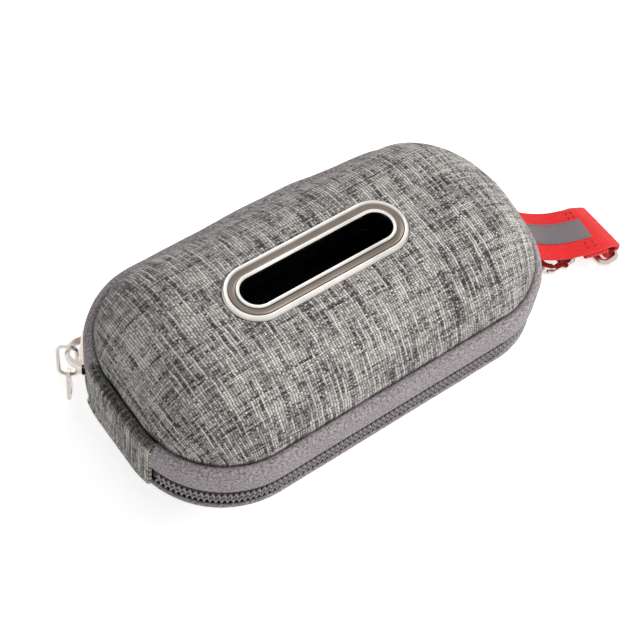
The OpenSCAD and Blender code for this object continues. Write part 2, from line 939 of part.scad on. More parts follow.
module bag_roll() {
    color("#202022")
        translate([-roll_l / 2, 0, roll_z])
            rotate([0, 90, 0])
                difference() {
                    cylinder(h = roll_l, r = roll_r);
                    translate([0, 0, -1])
                        cylinder(h = roll_l + 2, r = core_r);
                }
}

module roll_core() {
    color("#b48a5a")
        translate([-roll_l / 2, 0, roll_z])
            rotate([0, 90, 0])
                difference() {
                    cylinder(h = roll_l, r = core_r);
                    translate([0, 0, -1])
                        cylinder(h = roll_l + 2, r = core_r - core_t);
                }
}

lid_cover();
lid_shell();
lid_lining();
lid_binding();
lid_band();
lid_zip_tape();
lid_zip_coil();
slot_rim();
rim_backing_plate();
base_cover();
base_shell();
base_lining();
base_binding();
base_band();
base_zip_tape();
base_zip_coil();
hinge_gusset();
slider_body();
slider_crown();
pull_link();
pull_leaf();
ring_tab();
tab_ring();
strap_webbing();
reflective_stripe();
swivel_eye();
hook_body();
hook_gate();
gate_pin();
bag_roll();
roll_core();
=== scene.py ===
"""Zipped dispenser case for waste bags: cloth, zip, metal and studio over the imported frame."""

from __future__ import annotations

import json
import logging
import math
from dataclasses import dataclass, field
from enum import Enum
from typing import NamedTuple

import bmesh
import bpy
import numpy as np
from mathutils import Matrix, Vector

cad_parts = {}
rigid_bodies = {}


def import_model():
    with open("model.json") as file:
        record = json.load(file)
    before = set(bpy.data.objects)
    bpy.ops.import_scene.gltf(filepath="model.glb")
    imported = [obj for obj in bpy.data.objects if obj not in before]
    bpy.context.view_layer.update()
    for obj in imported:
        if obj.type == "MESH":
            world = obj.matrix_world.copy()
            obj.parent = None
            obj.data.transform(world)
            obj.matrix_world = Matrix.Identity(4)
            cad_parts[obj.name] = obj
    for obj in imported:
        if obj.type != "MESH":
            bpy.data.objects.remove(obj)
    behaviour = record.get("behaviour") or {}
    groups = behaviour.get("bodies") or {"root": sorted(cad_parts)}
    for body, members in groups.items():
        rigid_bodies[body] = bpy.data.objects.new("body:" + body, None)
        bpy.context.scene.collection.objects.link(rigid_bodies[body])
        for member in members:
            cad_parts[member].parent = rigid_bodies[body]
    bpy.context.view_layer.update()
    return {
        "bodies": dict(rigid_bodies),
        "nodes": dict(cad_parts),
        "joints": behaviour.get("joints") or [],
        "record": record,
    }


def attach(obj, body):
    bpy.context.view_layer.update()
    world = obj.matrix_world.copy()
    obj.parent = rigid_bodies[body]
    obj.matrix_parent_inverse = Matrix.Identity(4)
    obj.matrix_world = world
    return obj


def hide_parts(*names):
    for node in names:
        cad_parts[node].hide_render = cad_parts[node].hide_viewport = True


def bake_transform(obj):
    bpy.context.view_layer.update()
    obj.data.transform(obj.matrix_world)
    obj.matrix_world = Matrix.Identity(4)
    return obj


LOG = logging.getLogger("dispenser")
MM = 0.001
TINY = 1e-12
Array = np.ndarray

# How far the soft lid stands out, in millimetres, at bearings in degrees from the case's middle.
BAND_SLUMP = (
    (-45, -20, -5, 5, 15, 25, 38, 58, 64, 70, 76, 91, 107, 125, 150),
    (0, 0.3, 1.0, 1.3, 0.8, 0.0, -0.6, -0.9, -0.4, 0.3, 1.1, 1.3, 0.95, 0.5, 0),
)
CROWN_SLUMP = (
    (-45, -25, -15, -7, 1, 9, 16, 21, 27, 31, 39, 57, 66, 76, 91, 107, 130),
    (0, 0.3, 1.1, 1.7, 2.0, 1.6, 1.0, 0.4, -0.3, -0.9, -1.6, -1.55, -1.3, -1.1, -0.6, -0.5, 0),
)


# ---------------------------------------------------------------- shader graph helper


class Graph:
    """Adds nodes to one node tree and wires them, taking sockets and plain values alike."""

    def __init__(self, tree: bpy.types.NodeTree) -> None:
        """Starts from an empty tree."""
        self.tree = tree
        tree.nodes.clear()

    def add(self, kind: str, values: dict | None = None, **props: object) -> bpy.types.Node:
        """Adds one node.

        Args:
            kind: Blender's type name of the node.
            values: Input sockets by name or number, each a socket or a plain value.
            **props: Settings of the node.

        Returns:
            The new node.
        """
        node = self.tree.nodes.new(kind)
        for name, value in props.items():
            setattr(node, name, value)
        for key, value in (values or {}).items():
            self.feed(node.inputs[key], value)
        return node

    def feed(self, socket: bpy.types.NodeSocket, value: object) -> None:
        """Links a socket into an input, or sets the input's own value.

        Args:
            socket: Input to set.
            value: A socket or a plain value.
        """
        if isinstance(value, bpy.types.NodeSocket):
            self.tree.links.new(value, socket)
        elif isinstance(value, (tuple, list)) and socket.type == "RGBA":
            socket.default_value = (*value[:3], 1.0)
        else:
            socket.default_value = value

    def math(self, op: str, a: object, b: object = 0.0, c: object = 0.0) -> bpy.types.NodeSocket:
        """One step of arithmetic on numbers."""
        return self.add("ShaderNodeMath", {0: a, 1: b, 2: c}, operation=op).outputs[0]

    def plus(self, a: object, b: object) -> bpy.types.NodeSocket:
        """Sum of two numbers."""
        return self.math("ADD", a, b)

    def minus(self, a: object, b: object) -> bpy.types.NodeSocket:
        """One number less another."""
        return self.math("SUBTRACT", a, b)

    def times(self, a: object, b: object) -> bpy.types.NodeSocket:
        """Product of two numbers."""
        return self.math("MULTIPLY", a, b)

    def scale(self, vector: object, by: object) -> bpy.types.NodeSocket:
        """A vector or colour times a number."""
        return self.add("ShaderNodeVectorMath", {0: vector, "Scale": by}, operation="SCALE").outputs[0]

    def mix(self, share: object, a: object, b: object) -> bpy.types.NodeSocket:
        """Blend of two colours."""
        node = self.add("ShaderNodeMix", {0: share, 6: a, 7: b}, data_type="RGBA")
        return node.outputs[2]

    def spread(
        self, value: object, low: float, high: float, to_low: float, to_high: float
    ) -> bpy.types.NodeSocket:
        """Carries a number from one span to another, held at both ends."""
        return self.add("ShaderNodeMapRange", {0: value, 1: low, 2: high, 3: to_low, 4: to_high}).outputs[0]

    def noise(
        self, place: object, scale: float, detail: float = 2.0, rough: float = 0.5
    ) -> bpy.types.NodeSocket:
        """Smooth noise between 0 and 1."""
        values = {"Vector": place, "Scale": scale, "Detail": detail, "Roughness": rough}
        return self.add("ShaderNodeTexNoise", values).outputs["Fac"]

    def parts(self, vector: object) -> list[bpy.types.NodeSocket]:
        """The three numbers of a vector."""
        return list(self.add("ShaderNodeSeparateXYZ", {0: vector}).outputs)

    def join(self, x: object, y: object, z: object = 0.0) -> bpy.types.NodeSocket:
        """A vector from three numbers."""
        return self.add("ShaderNodeCombineXYZ", {0: x, 1: y, 2: z}).outputs[0]


def new_group(
    name: str, inputs: dict[str, tuple[str, object]], outputs: dict[str, str]
) -> tuple[bpy.types.NodeTree, Graph, bpy.types.Node]:
    """Starts a shader node group.

    Args:
        name: Name of the group.
        inputs: For each input its socket type and default.
        outputs: For each output its socket type.

    Returns:
        The tree, its graph helper and its input node.
    """
    tree = bpy.data.node_groups.new(name, "ShaderNodeTree")
    graph = Graph(tree)
    for label, (kind, value) in inputs.items():
        socket = tree.interface.new_socket(label, in_out="INPUT", socket_type=kind)
        if value is not None:
            socket.default_value = value
    for label, kind in outputs.items():
        tree.interface.new_socket(label, in_out="OUTPUT", socket_type=kind)
    return tree, graph, graph.add("NodeGroupInput")


FLOAT, COLOUR, VECTOR = "NodeSocketFloat", "NodeSocketColor", "NodeSocketVector"


class EffectLibrary:
    """The shader effects that several finishes share, each built once."""

    def __init__(self) -> None:
        """Builds every group."""
        self.weave = self._weave()
        self.ribs = self._ribs()
        self.handling = self._handling()

    @staticmethod
    def _weave() -> bpy.types.NodeTree:
        """Plain weave of slubby yarns: each yarn has its own shade, which drifts along its length.

        A yarn's number is the whole part of place / pitch. Where the sum of the two numbers is even the
        lengthwise yarn lies on top, else the crosswise one; height is the round of the yarn on top.
        The colour goes to near black in the gaps between yarns, as painted shade.

        Returns:
            The group's tree.
        """
        tree, g, given = new_group(
            "slubby weave",
            {
                "Place": (VECTOR, None), "Pitch": (FLOAT, 0.65), "Dark": (COLOUR, (0.06, 0.06, 0.06, 1)),
                "Light": (COLOUR, (0.5, 0.5, 0.5, 1)), "Contrast": (FLOAT, 1.0),
            },
            {"Color": COLOUR, "Height": FLOAT, "Rough": FLOAT},
        )
        wobble = g.noise(given.outputs["Place"], 0.35, 2.0)
        x, y, _ = g.parts(given.outputs["Place"])
        sway = g.times(g.minus(wobble, 0.5), 0.8)
        across = g.math("DIVIDE", g.plus(x, sway), g.times(given.outputs["Pitch"], 1.2))
        along = g.math("DIVIDE", g.minus(y, sway), g.times(given.outputs["Pitch"], 0.85))
        col, row = g.math("FLOOR", across), g.math("FLOOR", along)
        shades, tops = [], []
        for number, run, seed in ((col, along, 3.7), (row, across, 91.3)):
            total = 0.0
            for spacing, pace, share, offset in (
                (5.37, 0.05, 0.68, 0.0), (3.11, 0.17, 0.13, 20.0),
                (0.23, 0.02, 0.04, 50.0), (7.7, 1.5, 0.5, 70.0),
            ):
                place = g.join(g.times(number, spacing), g.times(run, pace), seed + offset)
                total = g.plus(total, g.times(g.minus(g.noise(place, 1.0, 1.0), 0.5), share))
            shades.append(g.plus(total, 0.5))
        for run in (across, along):
            wave = g.math("SINE", g.times(g.math("FRACT", run), math.pi))
            tops.append(g.math("POWER", wave, 0.6))
        parity = g.spread(g.math("FLOORED_MODULO", g.plus(col, row), 2.0), 0.0, 1.0, 0.2, 0.62)
        shade = g.plus(g.times(shades[0], g.minus(1.0, parity)), g.times(shades[1], parity))
        top = g.plus(g.times(tops[0], g.minus(1.0, parity)), g.times(tops[1], parity))
        low = g.minus(0.5, g.math("DIVIDE", 0.13, given.outputs["Contrast"]))
        high = g.plus(0.5, g.math("DIVIDE", 0.13, given.outputs["Contrast"]))
        share = g.add("ShaderNodeMapRange", {0: shade, 1: low, 2: high, 3: 0.0, 4: 1.0}).outputs[0]
        base = g.mix(share, given.outputs["Dark"], given.outputs["Light"])
        # Painted shade: the colour falls to near black in the gaps between yarns.
        gap = g.spread(top, 0.3, 0.98, 0.12, 1.0)
        color = g.mix(gap, (0.008, 0.007, 0.007), base)
        rough = g.spread(top, 0.0, 1.0, 0.98, 0.86)
        g.add("NodeGroupOutput", {"Color": color, "Height": top, "Rough": rough})
        return tree

    @staticmethod
    def _ribs() -> bpy.types.NodeTree:
        """Slanting ribs of twill or straight ribs of webbing, broken up yarn by yarn.

        The rib height is the round of the fraction of (x + slant * y) / pitch, and along each rib a
        second, finer wave cuts it into stitches. The colour is darker in the valleys between ribs, as painted
        shade, and flecked yarn by yarn at random; Depth sets how strong both are.
        second, finer wave cuts it into stitches.

        Returns:
            The group's tree.
        """
        tree, g, given = new_group(
            "rib weave",
            {
                "Place": (VECTOR, None), "Pitch": (FLOAT, 0.5), "Slant": (FLOAT, 1.0),
                "Color": (COLOUR, (0.3, 0.3, 0.3, 1)), "Depth": (FLOAT, 0.5),
            },
            {"Color": COLOUR, "Height": FLOAT},
        )
        x, y, _ = g.parts(given.outputs["Place"])
        slanted = g.math("DIVIDE", g.plus(x, g.times(y, given.outputs["Slant"])), given.outputs["Pitch"])
        rib = g.math("SINE", g.times(g.math("FRACT", slanted), math.pi))
        stitch = g.math("DIVIDE", g.plus(y, g.times(g.math("FLOOR", slanted), 0.31)), given.outputs["Pitch"])
        knot = g.math("SINE", g.times(g.math("FRACT", stitch), math.pi))
        height = g.times(rib, g.spread(knot, 0.0, 1.0, 0.55, 1.0))
        fleck = g.noise(g.join(g.math("FLOOR", slanted), g.math("FLOOR", stitch), 4.0), 7.3, 2.0)
        # Painted shade in the rib valleys, times random flecks yarn by yarn.
        tone = g.times(g.spread(height, 0.0, 0.7, 0.62, 1.0), g.spread(fleck, 0.2, 0.8, 0.84, 1.16))
        share = g.minus(1.0, g.times(given.outputs["Depth"], g.minus(1.0, tone)))
        color = g.scale(given.outputs["Color"], share)
        g.add("NodeGroupOutput", {"Color": color, "Height": height})
        return tree

    @staticmethod
    def _handling() -> bpy.types.NodeTree:
        """Smudges and hairline scratches that handling leaves on a hard surface.

        Returns:
            The group's tree.
        """
        tree, g, given = new_group(
            "handling marks", {"Place": (VECTOR, None), "Amount": (FLOAT, 1.0)},
            {"Rough": FLOAT, "Height": FLOAT, "Tone": FLOAT},
        )
        smudge = g.noise(given.outputs["Place"], 120.0, 4.0, 0.6)
        stretched = g.add(
            "ShaderNodeMapping", {"Vector": given.outputs["Place"], "Scale": (2600.0, 260.0, 2600.0)}
        ).outputs[0]
        hair = g.noise(stretched, 1.0, 3.0, 0.7)
        rough = g.times(g.spread(smudge, 0.3, 0.75, 0.0, 0.16), given.outputs["Amount"])
        tone = g.spread(smudge, 0.25, 0.8, 0.9, 1.0)
        g.add("NodeGroupOutput", {"Rough": rough, "Height": hair, "Tone": tone})
        return tree


# ---------------------------------------------------------------- finishes


class Place(Enum):
    """Where a finish reads its pattern from."""

    UV = "UV"
    OBJECT = "Object"


@dataclass(frozen=True)
class Finish:
    """What every finish has: a name, the shared effects and where its pattern lies."""

    name: str
    effects: EffectLibrary = field(repr=False)
    place: Place = Place.OBJECT

    def start(self) -> tuple[bpy.types.Material, Graph, bpy.types.Node, bpy.types.NodeSocket]:
        """Opens a material.

        Returns:
            The material, its graph, its Principled shader and the pattern's coordinates in millimetres.
        """
        material = bpy.data.materials.new(self.name)
        material.use_nodes = True
        g = Graph(material.node_tree)
        shader = g.add("ShaderNodeBsdfPrincipled")
        g.add("ShaderNodeOutputMaterial", {"Surface": shader.outputs[0]})
        where = g.add("ShaderNodeTexCoord").outputs[self.place.value]
        scaled = g.scale(where, 1000.0)
        return material, g, shader, scaled

    @staticmethod
    def emboss(
        g: Graph, shader: bpy.types.Node, height: object, depth_mm: float, strength: float = 1.0
    ) -> None:
        """Turns a height into the shader's normal."""
        bump = g.add("ShaderNodeBump", {"Height": height, "Strength": strength, "Distance": depth_mm * MM})
        g.feed(shader.inputs["Normal"], bump.outputs[0])

    def effect(self, g: Graph, tree: bpy.types.NodeTree, values: dict) -> bpy.types.Node:
        """Places one shared effect in this material.

        Args:
            g: Graph of the material.
            tree: The effect's group.
            values: Inputs by name, each a socket or a plain value.

        Returns:
            The group's node.
        """
        node = g.add("ShaderNodeGroup", node_tree=tree)
        for key, value in values.items():
            g.feed(node.inputs[key], value)
        return node


@dataclass(frozen=True)
class WovenCloth(Finish):
    """Heathered canvas of dark and pale yarns; seam_level is the height of the crown's seam in metres, where
    painted shade darkens the cloth.
    """

    dark: tuple[float, float, float] = (0.055, 0.050, 0.047)
    light: tuple[float, float, float] = (0.80, 0.765, 0.72)
    pitch: float = 0.56
    contrast: float = 1.2
    relief: float = 0.16
    seam_level: float = 0.0326

    def build(self) -> bpy.types.Material:
        """Builds the material, with painted shade where the cloth turns down into the crown's seam.

        Returns:
            The finished material.
        """
        material, g, shader, at = self.start()
        _, _, level = g.parts(g.add("ShaderNodeTexCoord").outputs["Object"])
        # Painted shade along the seam: the colour is scaled down to 0.3 at the seam's level and back to full
        # 1.5 mm below and 1.2 mm above it.
        over = g.minus(level, self.seam_level)
        painted_seam_shade = g.math(
            "MAXIMUM", g.spread(over, 0.0, 0.0012, 0.22, 1.0), g.spread(over, -0.0015, -0.0003, 1.0, 0.3)
        )
        yarns = {"Pitch": self.pitch, "Dark": self.dark, "Light": self.light, "Contrast": self.contrast}
        weave = self.effect(g, self.effects.weave, {"Place": at} | yarns)
        g.feed(shader.inputs["Base Color"], g.scale(weave.outputs["Color"], painted_seam_shade))
        g.feed(shader.inputs["Roughness"], weave.outputs["Rough"])
        shader.inputs["Sheen Weight"].default_value = 0.12
        shader.inputs["Specular IOR Level"].default_value = 0.25
        self.emboss(g, shader, weave.outputs["Height"], self.relief)
        return material


@dataclass(frozen=True)
class RibbedCloth(Finish):
    """Twill, tape or webbing in one colour, with slanting ribs or straight ones."""

    color: tuple[float, float, float] = (0.3, 0.28, 0.29)
    pitch: float = 0.5
    slant: float = 1.0
    # How far the painted valley shade and the random flecks darken the colour.
    depth: float = 0.5
    relief: float = 0.08
    sheen: float = 0.1
    speckle: float = 0.05

    def build(self) -> bpy.types.Material:
        """Builds the material.

        Returns:
            The finished material.
        """
        material, g, shader, at = self.start()
        ribs = self.effect(
            g, self.effects.ribs,
            {"Place": at, "Pitch": self.pitch, "Slant": self.slant, "Color": self.color, "Depth": self.depth},
        )
        cloud = g.spread(g.noise(at, 0.12, 3.0), 0.3, 0.7, 0.93, 1.06)
        cloud = g.times(
            cloud, g.spread(g.noise(at, 1.5, 3.0, 0.75), 0.35, 0.65, 1.0 - self.speckle, 1.0 + self.speckle)
        )
        tinted = g.scale(ribs.outputs["Color"], cloud)
        g.feed(shader.inputs["Base Color"], tinted)
        g.feed(shader.inputs["Roughness"], g.spread(ribs.outputs["Height"], 0.0, 1.0, 0.95, 0.8))
        shader.inputs["Sheen Weight"].default_value = self.sheen
        shader.inputs["Specular IOR Level"].default_value = 0.3
        self.emboss(g, shader, ribs.outputs["Height"], self.relief)
        return material


@dataclass(frozen=True)
class PlatedMetal(Finish):
    """Polished plate with smudges from handling."""

    color: tuple[float, float, float] = (0.66, 0.60, 0.545)
    rough: float = 0.17
    marks: float = 1.0

    def build(self) -> bpy.types.Material:
        """Builds the material.

        Returns:
            The finished material.
        """
        material, g, shader, at = self.start()
        where = g.scale(at, 0.001)
        marks = self.effect(g, self.effects.handling, {"Place": where, "Amount": self.marks})
        tinted = g.scale(self.color, marks.outputs["Tone"])
        g.feed(shader.inputs["Base Color"], tinted)
        g.feed(shader.inputs["Roughness"], g.plus(marks.outputs["Rough"], self.rough))
        shader.inputs["Metallic"].default_value = 1.0
        self.emboss(g, shader, marks.outputs["Height"], 0.004, 0.5)
        return material


@dataclass(frozen=True)
class GroovedPlate(PlatedMetal):
    """The slot rim's plate: painted highlight on its two lips and painted shade in the groove."""

    # groove is the painted shade of the groove, lip the painted highlight of the two lips.
    groove: tuple[float, float, float] = (0.25, 0.212, 0.18)
    lip: tuple[float, float, float] = (0.93, 0.89, 0.84)

    def build(self) -> bpy.types.Material:
        """Builds the material, whose second pattern coordinate is the distance out from the slot.

        Returns:
            The finished material.
        """
        material, g, shader, at = self.start()
        _, out, _ = g.parts(at)
        # Painted highlight on the inner and outer lip by distance out from the slot, painted shade in the
        # groove between.
        inner = g.spread(out, 0.75, 1.05, 1.0, 0.0)
        outer = g.math("MINIMUM", g.spread(out, 2.5, 2.9, 0.0, 1.0), g.spread(out, 3.45, 3.9, 1.0, 0.45))
        where = g.add("ShaderNodeTexCoord").outputs["Object"]
        marks = self.effect(g, self.effects.handling, {"Place": where, "Amount": self.marks})
        streak = g.spread(g.noise(where, 90.0, 3.0), 0.35, 0.65, 0.8, 1.1)
        tone = g.mix(g.math("MAXIMUM", inner, outer), self.groove, self.lip)
        g.feed(shader.inputs["Base Color"], g.scale(tone, streak))
        g.feed(shader.inputs["Roughness"], g.plus(marks.outputs["Rough"], self.rough))
        shader.inputs["Metallic"].default_value = 1.0
        self.emboss(g, shader, marks.outputs["Height"], 0.004, 0.5)
        return material


@dataclass(frozen=True)
class Moulded(Finish):
    """Nylon, foam, card or film: one colour with a fine grain."""

    color: tuple[float, float, float] = (0.1, 0.1, 0.1)
    rough: float = 0.5
    grain: float = 3.0
    relief: float = 0.03
    spread_of_tone: float = 0.2

    def build(self) -> bpy.types.Material:
        """Builds the material.

        Returns:
            The finished material.
        """
        material, g, shader, at = self.start()
        fine = g.noise(at, self.grain, 4.0, 0.65)
        tone = g.spread(fine, 0.3, 0.7, 1.0 - self.spread_of_tone, 1.0 + self.spread_of_tone)
        tinted = g.scale(self.color, tone)
        g.feed(shader.inputs["Base Color"], tinted)
        g.feed(shader.inputs["Roughness"], g.spread(fine, 0.3, 0.7, self.rough - 0.06, self.rough + 0.06))
        self.emboss(g, shader, fine, self.relief)
        return material


class FinishSet:
    """All the finishes of the case, made once."""

    def __init__(self) -> None:
        """Builds the shared effects and each material."""
        fx = EffectLibrary()
        self.canvas = WovenCloth("heathered canvas", fx, Place.UV).build()
        self.twill = RibbedCloth(
            "grey twill", fx, Place.UV, color=(0.34, 0.302, 0.314), pitch=0.42, slant=1.0, depth=0.55,
            relief=0.07, sheen=0.1, speckle=0.62,
        ).build()
        self.tape = RibbedCloth(
            "zip tape", fx, Place.UV, color=(0.12, 0.11, 0.118), pitch=0.6, slant=1.0, depth=0.7, relief=0.1
        ).build()
        self.nylon = Moulded(
            "nylon coil", fx, Place.OBJECT, color=(0.22, 0.2, 0.216), rough=0.36, grain=1.5, relief=0.01,
            spread_of_tone=0.1,
        ).build()
        self.nickel = PlatedMetal("nickel plate", fx).build()
        self.dull_steel = PlatedMetal(
            "plain pressed steel", fx, Place.OBJECT, color=(0.4, 0.39, 0.38), rough=0.42, marks=1.5
        ).build()
        self.grooved = GroovedPlate("nickel rim plate", fx, Place.UV).build()
        # Near-black steel inside the slot's throat: painted shade of the dark opening.
        self.throat_painted_shade = PlatedMetal(
            "steel in painted shade", fx, Place.OBJECT, color=(0.012, 0.011, 0.011), rough=0.5, marks=1.0
        ).build()
        self.red = RibbedCloth(
            "red webbing", fx, Place.UV, color=(0.78, 0.022, 0.024), pitch=0.55, slant=0.0, depth=0.4,
            relief=0.1, sheen=0.15,
        ).build()
        # The red webbing darkened as painted shade, for the tab that lies in shadow inside the ring.
        self.red_painted_shade = RibbedCloth(
            "red webbing in painted shade", fx, Place.UV, color=(0.30, 0.016, 0.022), pitch=0.55, slant=0.0, depth=0.5,
            relief=0.1, sheen=0.15,
        ).build()
        self.reflective = RibbedCloth(
            "reflective tape", fx, Place.UV, color=(0.19, 0.165, 0.172), pitch=0.35, slant=0.0, depth=0.25,
            relief=0.02, sheen=0.0,
        ).build()
        self.lining = RibbedCloth(
            "black lining", fx, Place.OBJECT, color=(0.006, 0.006, 0.0065), pitch=0.5, slant=1.0, depth=0.5,
            relief=0.05,
        ).build()
        self.binding = RibbedCloth(
            "binding tape", fx, Place.OBJECT, color=(0.02, 0.02, 0.021), pitch=0.7, slant=0.0, depth=0.6,
            relief=0.1,
        ).build()
        self.foam = Moulded(
            "moulded foam", fx, Place.OBJECT, color=(0.02, 0.02, 0.021), rough=0.8, grain=2.5, relief=0.06
        ).build()
        self.film = Moulded(
            "black film", fx, Place.OBJECT, color=(0.004, 0.004, 0.0045), rough=0.42, grain=0.5, relief=0.12
        ).build()
        self.card = Moulded(
            "kraft card", fx, Place.OBJECT, color=(0.34, 0.22, 0.12), rough=0.85, grain=1.2, relief=0.05,
            spread_of_tone=0.25,
        ).build()
        self.grey_thread = Moulded(
            "grey thread", fx, Place.OBJECT, color=(0.15, 0.13, 0.136), rough=0.65, grain=4.0, relief=0.02
        ).build()
        self.red_thread = Moulded(
            "red thread", fx, Place.OBJECT, color=(0.42, 0.012, 0.014), rough=0.65, grain=4.0, relief=0.02
        ).build()


# ---------------------------------------------------------------- surfaces


def surface(
    name: str, points: Array, uv: Array, material: bpy.types.Material, body: str | None, *,
    wrap_rows: bool = False, wrap_cols: bool = False, flip: bool = False,
) -> bpy.types.Object:
    """Puts a grid of points into a smooth mesh.

    Args:
        name: Name of the piece.
        points: Rows by columns by xyz, in millimetres.
        uv: Pattern coordinates in millimetres, one row or column more where that way is wrapped.
        material: Its finish.
        body: The body that it rides on, or None for a piece that crosses a joint.
        wrap_rows: Whether the last row meets the first.
        wrap_cols: Whether the last column meets the first.
        flip: Whether to turn the faces over.

    Returns:
        The new object.
    """
    rows, cols = points.shape[:2]
    i = np.arange(rows if wrap_rows else rows - 1)
    j = np.arange(cols if wrap_cols else cols - 1)
    ii, jj = np.meshgrid(i, j, indexing="ij")
    i2, j2 = (ii + 1) % rows, (jj + 1) % cols
    faces = np.stack([ii * cols + jj, ii * cols + j2, i2 * cols + j2, i2 * cols + jj], -1).reshape(-1, 4)
    uv_cols = uv.shape[1]
    uv_faces = np.stack(
        [ii * uv_cols + jj, ii * uv_cols + jj + 1, (ii + 1) * uv_cols + jj + 1, (ii + 1) * uv_cols + jj], -1
    ).reshape(-1, 4)
    if flip:
        faces, uv_faces = faces[:, ::-1], uv_faces[:, ::-1]
    mesh = bpy.data.meshes.new(name)
    mesh.from_pydata((points.reshape(-1, 3) * MM).tolist(), [], faces.tolist())
    layer = mesh.uv_layers.new(name="cloth")
    corners = uv.reshape(-1, 2)[uv_faces.reshape(-1)] * MM
    layer.data.foreach_set("uv", corners.astype(np.float32).reshape(-1))
    mesh.polygons.foreach_set("use_smooth", np.ones(len(mesh.polygons), bool))
    mesh.materials.append(material)
    piece = bpy.data.objects.new(name, mesh)
    bpy.context.scene.collection.objects.link(piece)
    if body:
        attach(piece, body)
    return piece


def weld(piece: bpy.types.Object, distance_mm: float = 0.002, outward: bool = False) -> None:
    """Merges points that lie together, and can turn all faces of a closed piece outwards.

    Args:
        piece: Piece to weld.
        distance_mm: How near the points lie, in millimetres.
        outward: Whether to turn the faces outwards.
    """
    work = bmesh.new()
    work.from_mesh(piece.data)
    bmesh.ops.remove_doubles(work, verts=work.verts, dist=distance_mm * MM)
    if outward:
        bmesh.ops.recalc_face_normals(work, faces=work.faces)
    work.to_mesh(piece.data)
    work.free()


def close_ends(piece: bpy.types.Object, rings: int, sides: int) -> None:
    """Closes both ends of the wire and turns its faces outwards.

    Args:
        piece: Wire or band whose mesh is rings in order.
        rings: Number of rings.
        sides: Number of points in a ring.
    """
    work = bmesh.new()
    work.from_mesh(piece.data)
    work.verts.ensure_lookup_table()
    for first in (0, (rings - 1) * sides):
        work.faces.new([work.verts[first + i] for i in range(sides)])
    bmesh.ops.recalc_face_normals(work, faces=work.faces)
    work.to_mesh(piece.data)
    work.free()


def thicken(piece: bpy.types.Object, thickness_mm: float, side: float = -1.0) -> None:
    """Gives a sheet its thickness; side -1 keeps the face where it is.

    Args:
        piece: Sheet to thicken.
        thickness_mm: Thickness in millimetres.
        side: Which side the thickness goes to, from -1 to 1.
    """
    wall = piece.modifiers.new("thickness", "SOLIDIFY")
    wall.thickness = thickness_mm * MM
    wall.offset = side


def arc_length(points: Array) -> Array:
    """Distance run at each point of a path: the sum of the steps up to it."""
    return np.concatenate([[0], np.cumsum(np.linalg.norm(np.diff(points, axis=0), axis=1))])


def unit(vectors: Array) -> Array:
    """Each vector divided by its own length."""
    return vectors / (np.linalg.norm(vectors, axis=-1, keepdims=True) + TINY)


def ripple(s: Array, waves: tuple[tuple[float, float, float], ...]) -> Array:
    """Sum of sines over distance: each wave is a length in millimetres, a height and a phase."""
    return sum(height * np.sin(2 * np.pi * s / length + phase) for length, height, phase in waves)


def ease(t: Array) -> Array:
    """Smooth step from 0 to 1: three squares less two cubes."""
    return t * t * (3 - 2 * t)


def smooth_path(points: list[tuple[float, ...]], steps: int) -> Array:
    """Catmull-Rom curve through given points, with the given spans between each pair.

    Args:
        points: Hand-placed points.
        steps: Number of spans between two points.

    Returns:
        The curve's points.
    """
    p = np.array(points, float)
    ends = np.vstack([p[:1], p, p[-1:]])
    a, b, c, d = (ends[k : len(p) - 1 + k, None] for k in range(4))
    t = (np.arange(steps) / steps)[None, :, None]
    curve = 0.5 * (2 * b + (c - a) * t + (2 * a - 5 * b + 4 * c - d) * t**2 + (3 * b - a - 3 * c + d) * t**3)
    return np.vstack([curve.reshape(-1, p.shape[1]), p[-1:]])


def sewing(
    name: str, path: Array, up: Array, material: bpy.types.Material, body: str, pitch: float = 2.1,
    length: float = 1.5, half_width: float = 0.17,
) -> bpy.types.Object:
    """A row of stitches: each is a lens whose middle stands over the cloth and whose ends sink into it.

    Args:
        name: Name of the piece.
        path: Points along the row in millimetres.
        up: Direction off the cloth at each point.
        material: Finish of the thread.
        body: The body that it rides on.
        pitch: Distance from stitch to stitch.
        length: Length of one stitch.
        half_width: Half the thread's width.

    Returns:
        The new object.
    """
    run = arc_length(path)
    middles = np.arange(pitch / 2, run[-1], pitch)
    t = np.linspace(-1, 1, 7)
    at = middles[:, None] + t[None] * length / 2
    centre = np.stack([np.interp(at, run, path[:, k]) for k in range(3)], -1)
    off = np.stack([np.interp(at, run, up[:, k]) for k in range(3)], -1)
    ahead = unit(np.gradient(centre, axis=1))
    side = np.cross(off, ahead)
    rise = (1 - t**2) * half_width * 1.5 - half_width * 0.9
    thick = half_width * np.sqrt(np.clip(1.06 - t**2, 0, 1))
    turn = np.linspace(0, 2 * np.pi, 6, endpoint=False)
    ring = np.cos(turn)[:, None] * side[:, :, None] + np.sin(turn)[:, None] * off[:, :, None]
    middle = centre[:, :, None] + rise[None, :, None, None] * off[:, :, None]
    points = middle + thick[None, :, None, None] * ring
    count, rows, sides = points.shape[:3]
    base = (np.arange(count) * rows * sides)[:, None, None]
    i, j = np.meshgrid(np.arange(rows - 1), np.arange(sides), indexing="ij")
    j2 = (j + 1) % sides
    quad = np.stack(
        [i * sides + j, (i + 1) * sides + j, (i + 1) * sides + j2, i * sides + j2], -1
    ).reshape(1, -1, 4)
    faces = (base + quad).reshape(-1, 4).tolist()
    ends = base[:, 0] + np.arange(sides)[None]
    faces += ends.tolist() + (ends[:, ::-1] + (rows - 1) * sides).tolist()
    mesh = bpy.data.meshes.new(name)
    mesh.from_pydata((points.reshape(-1, 3) * MM).tolist(), [], faces)
    mesh.polygons.foreach_set("use_smooth", np.ones(len(mesh.polygons), bool))
    mesh.materials.append(material)
    piece = bpy.data.objects.new(name, mesh)
    bpy.context.scene.collection.objects.link(piece)
    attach(piece, body)
    weld(piece, 0.0005, outward=True)
    return piece


# ---------------------------------------------------------------- the case's own geometry


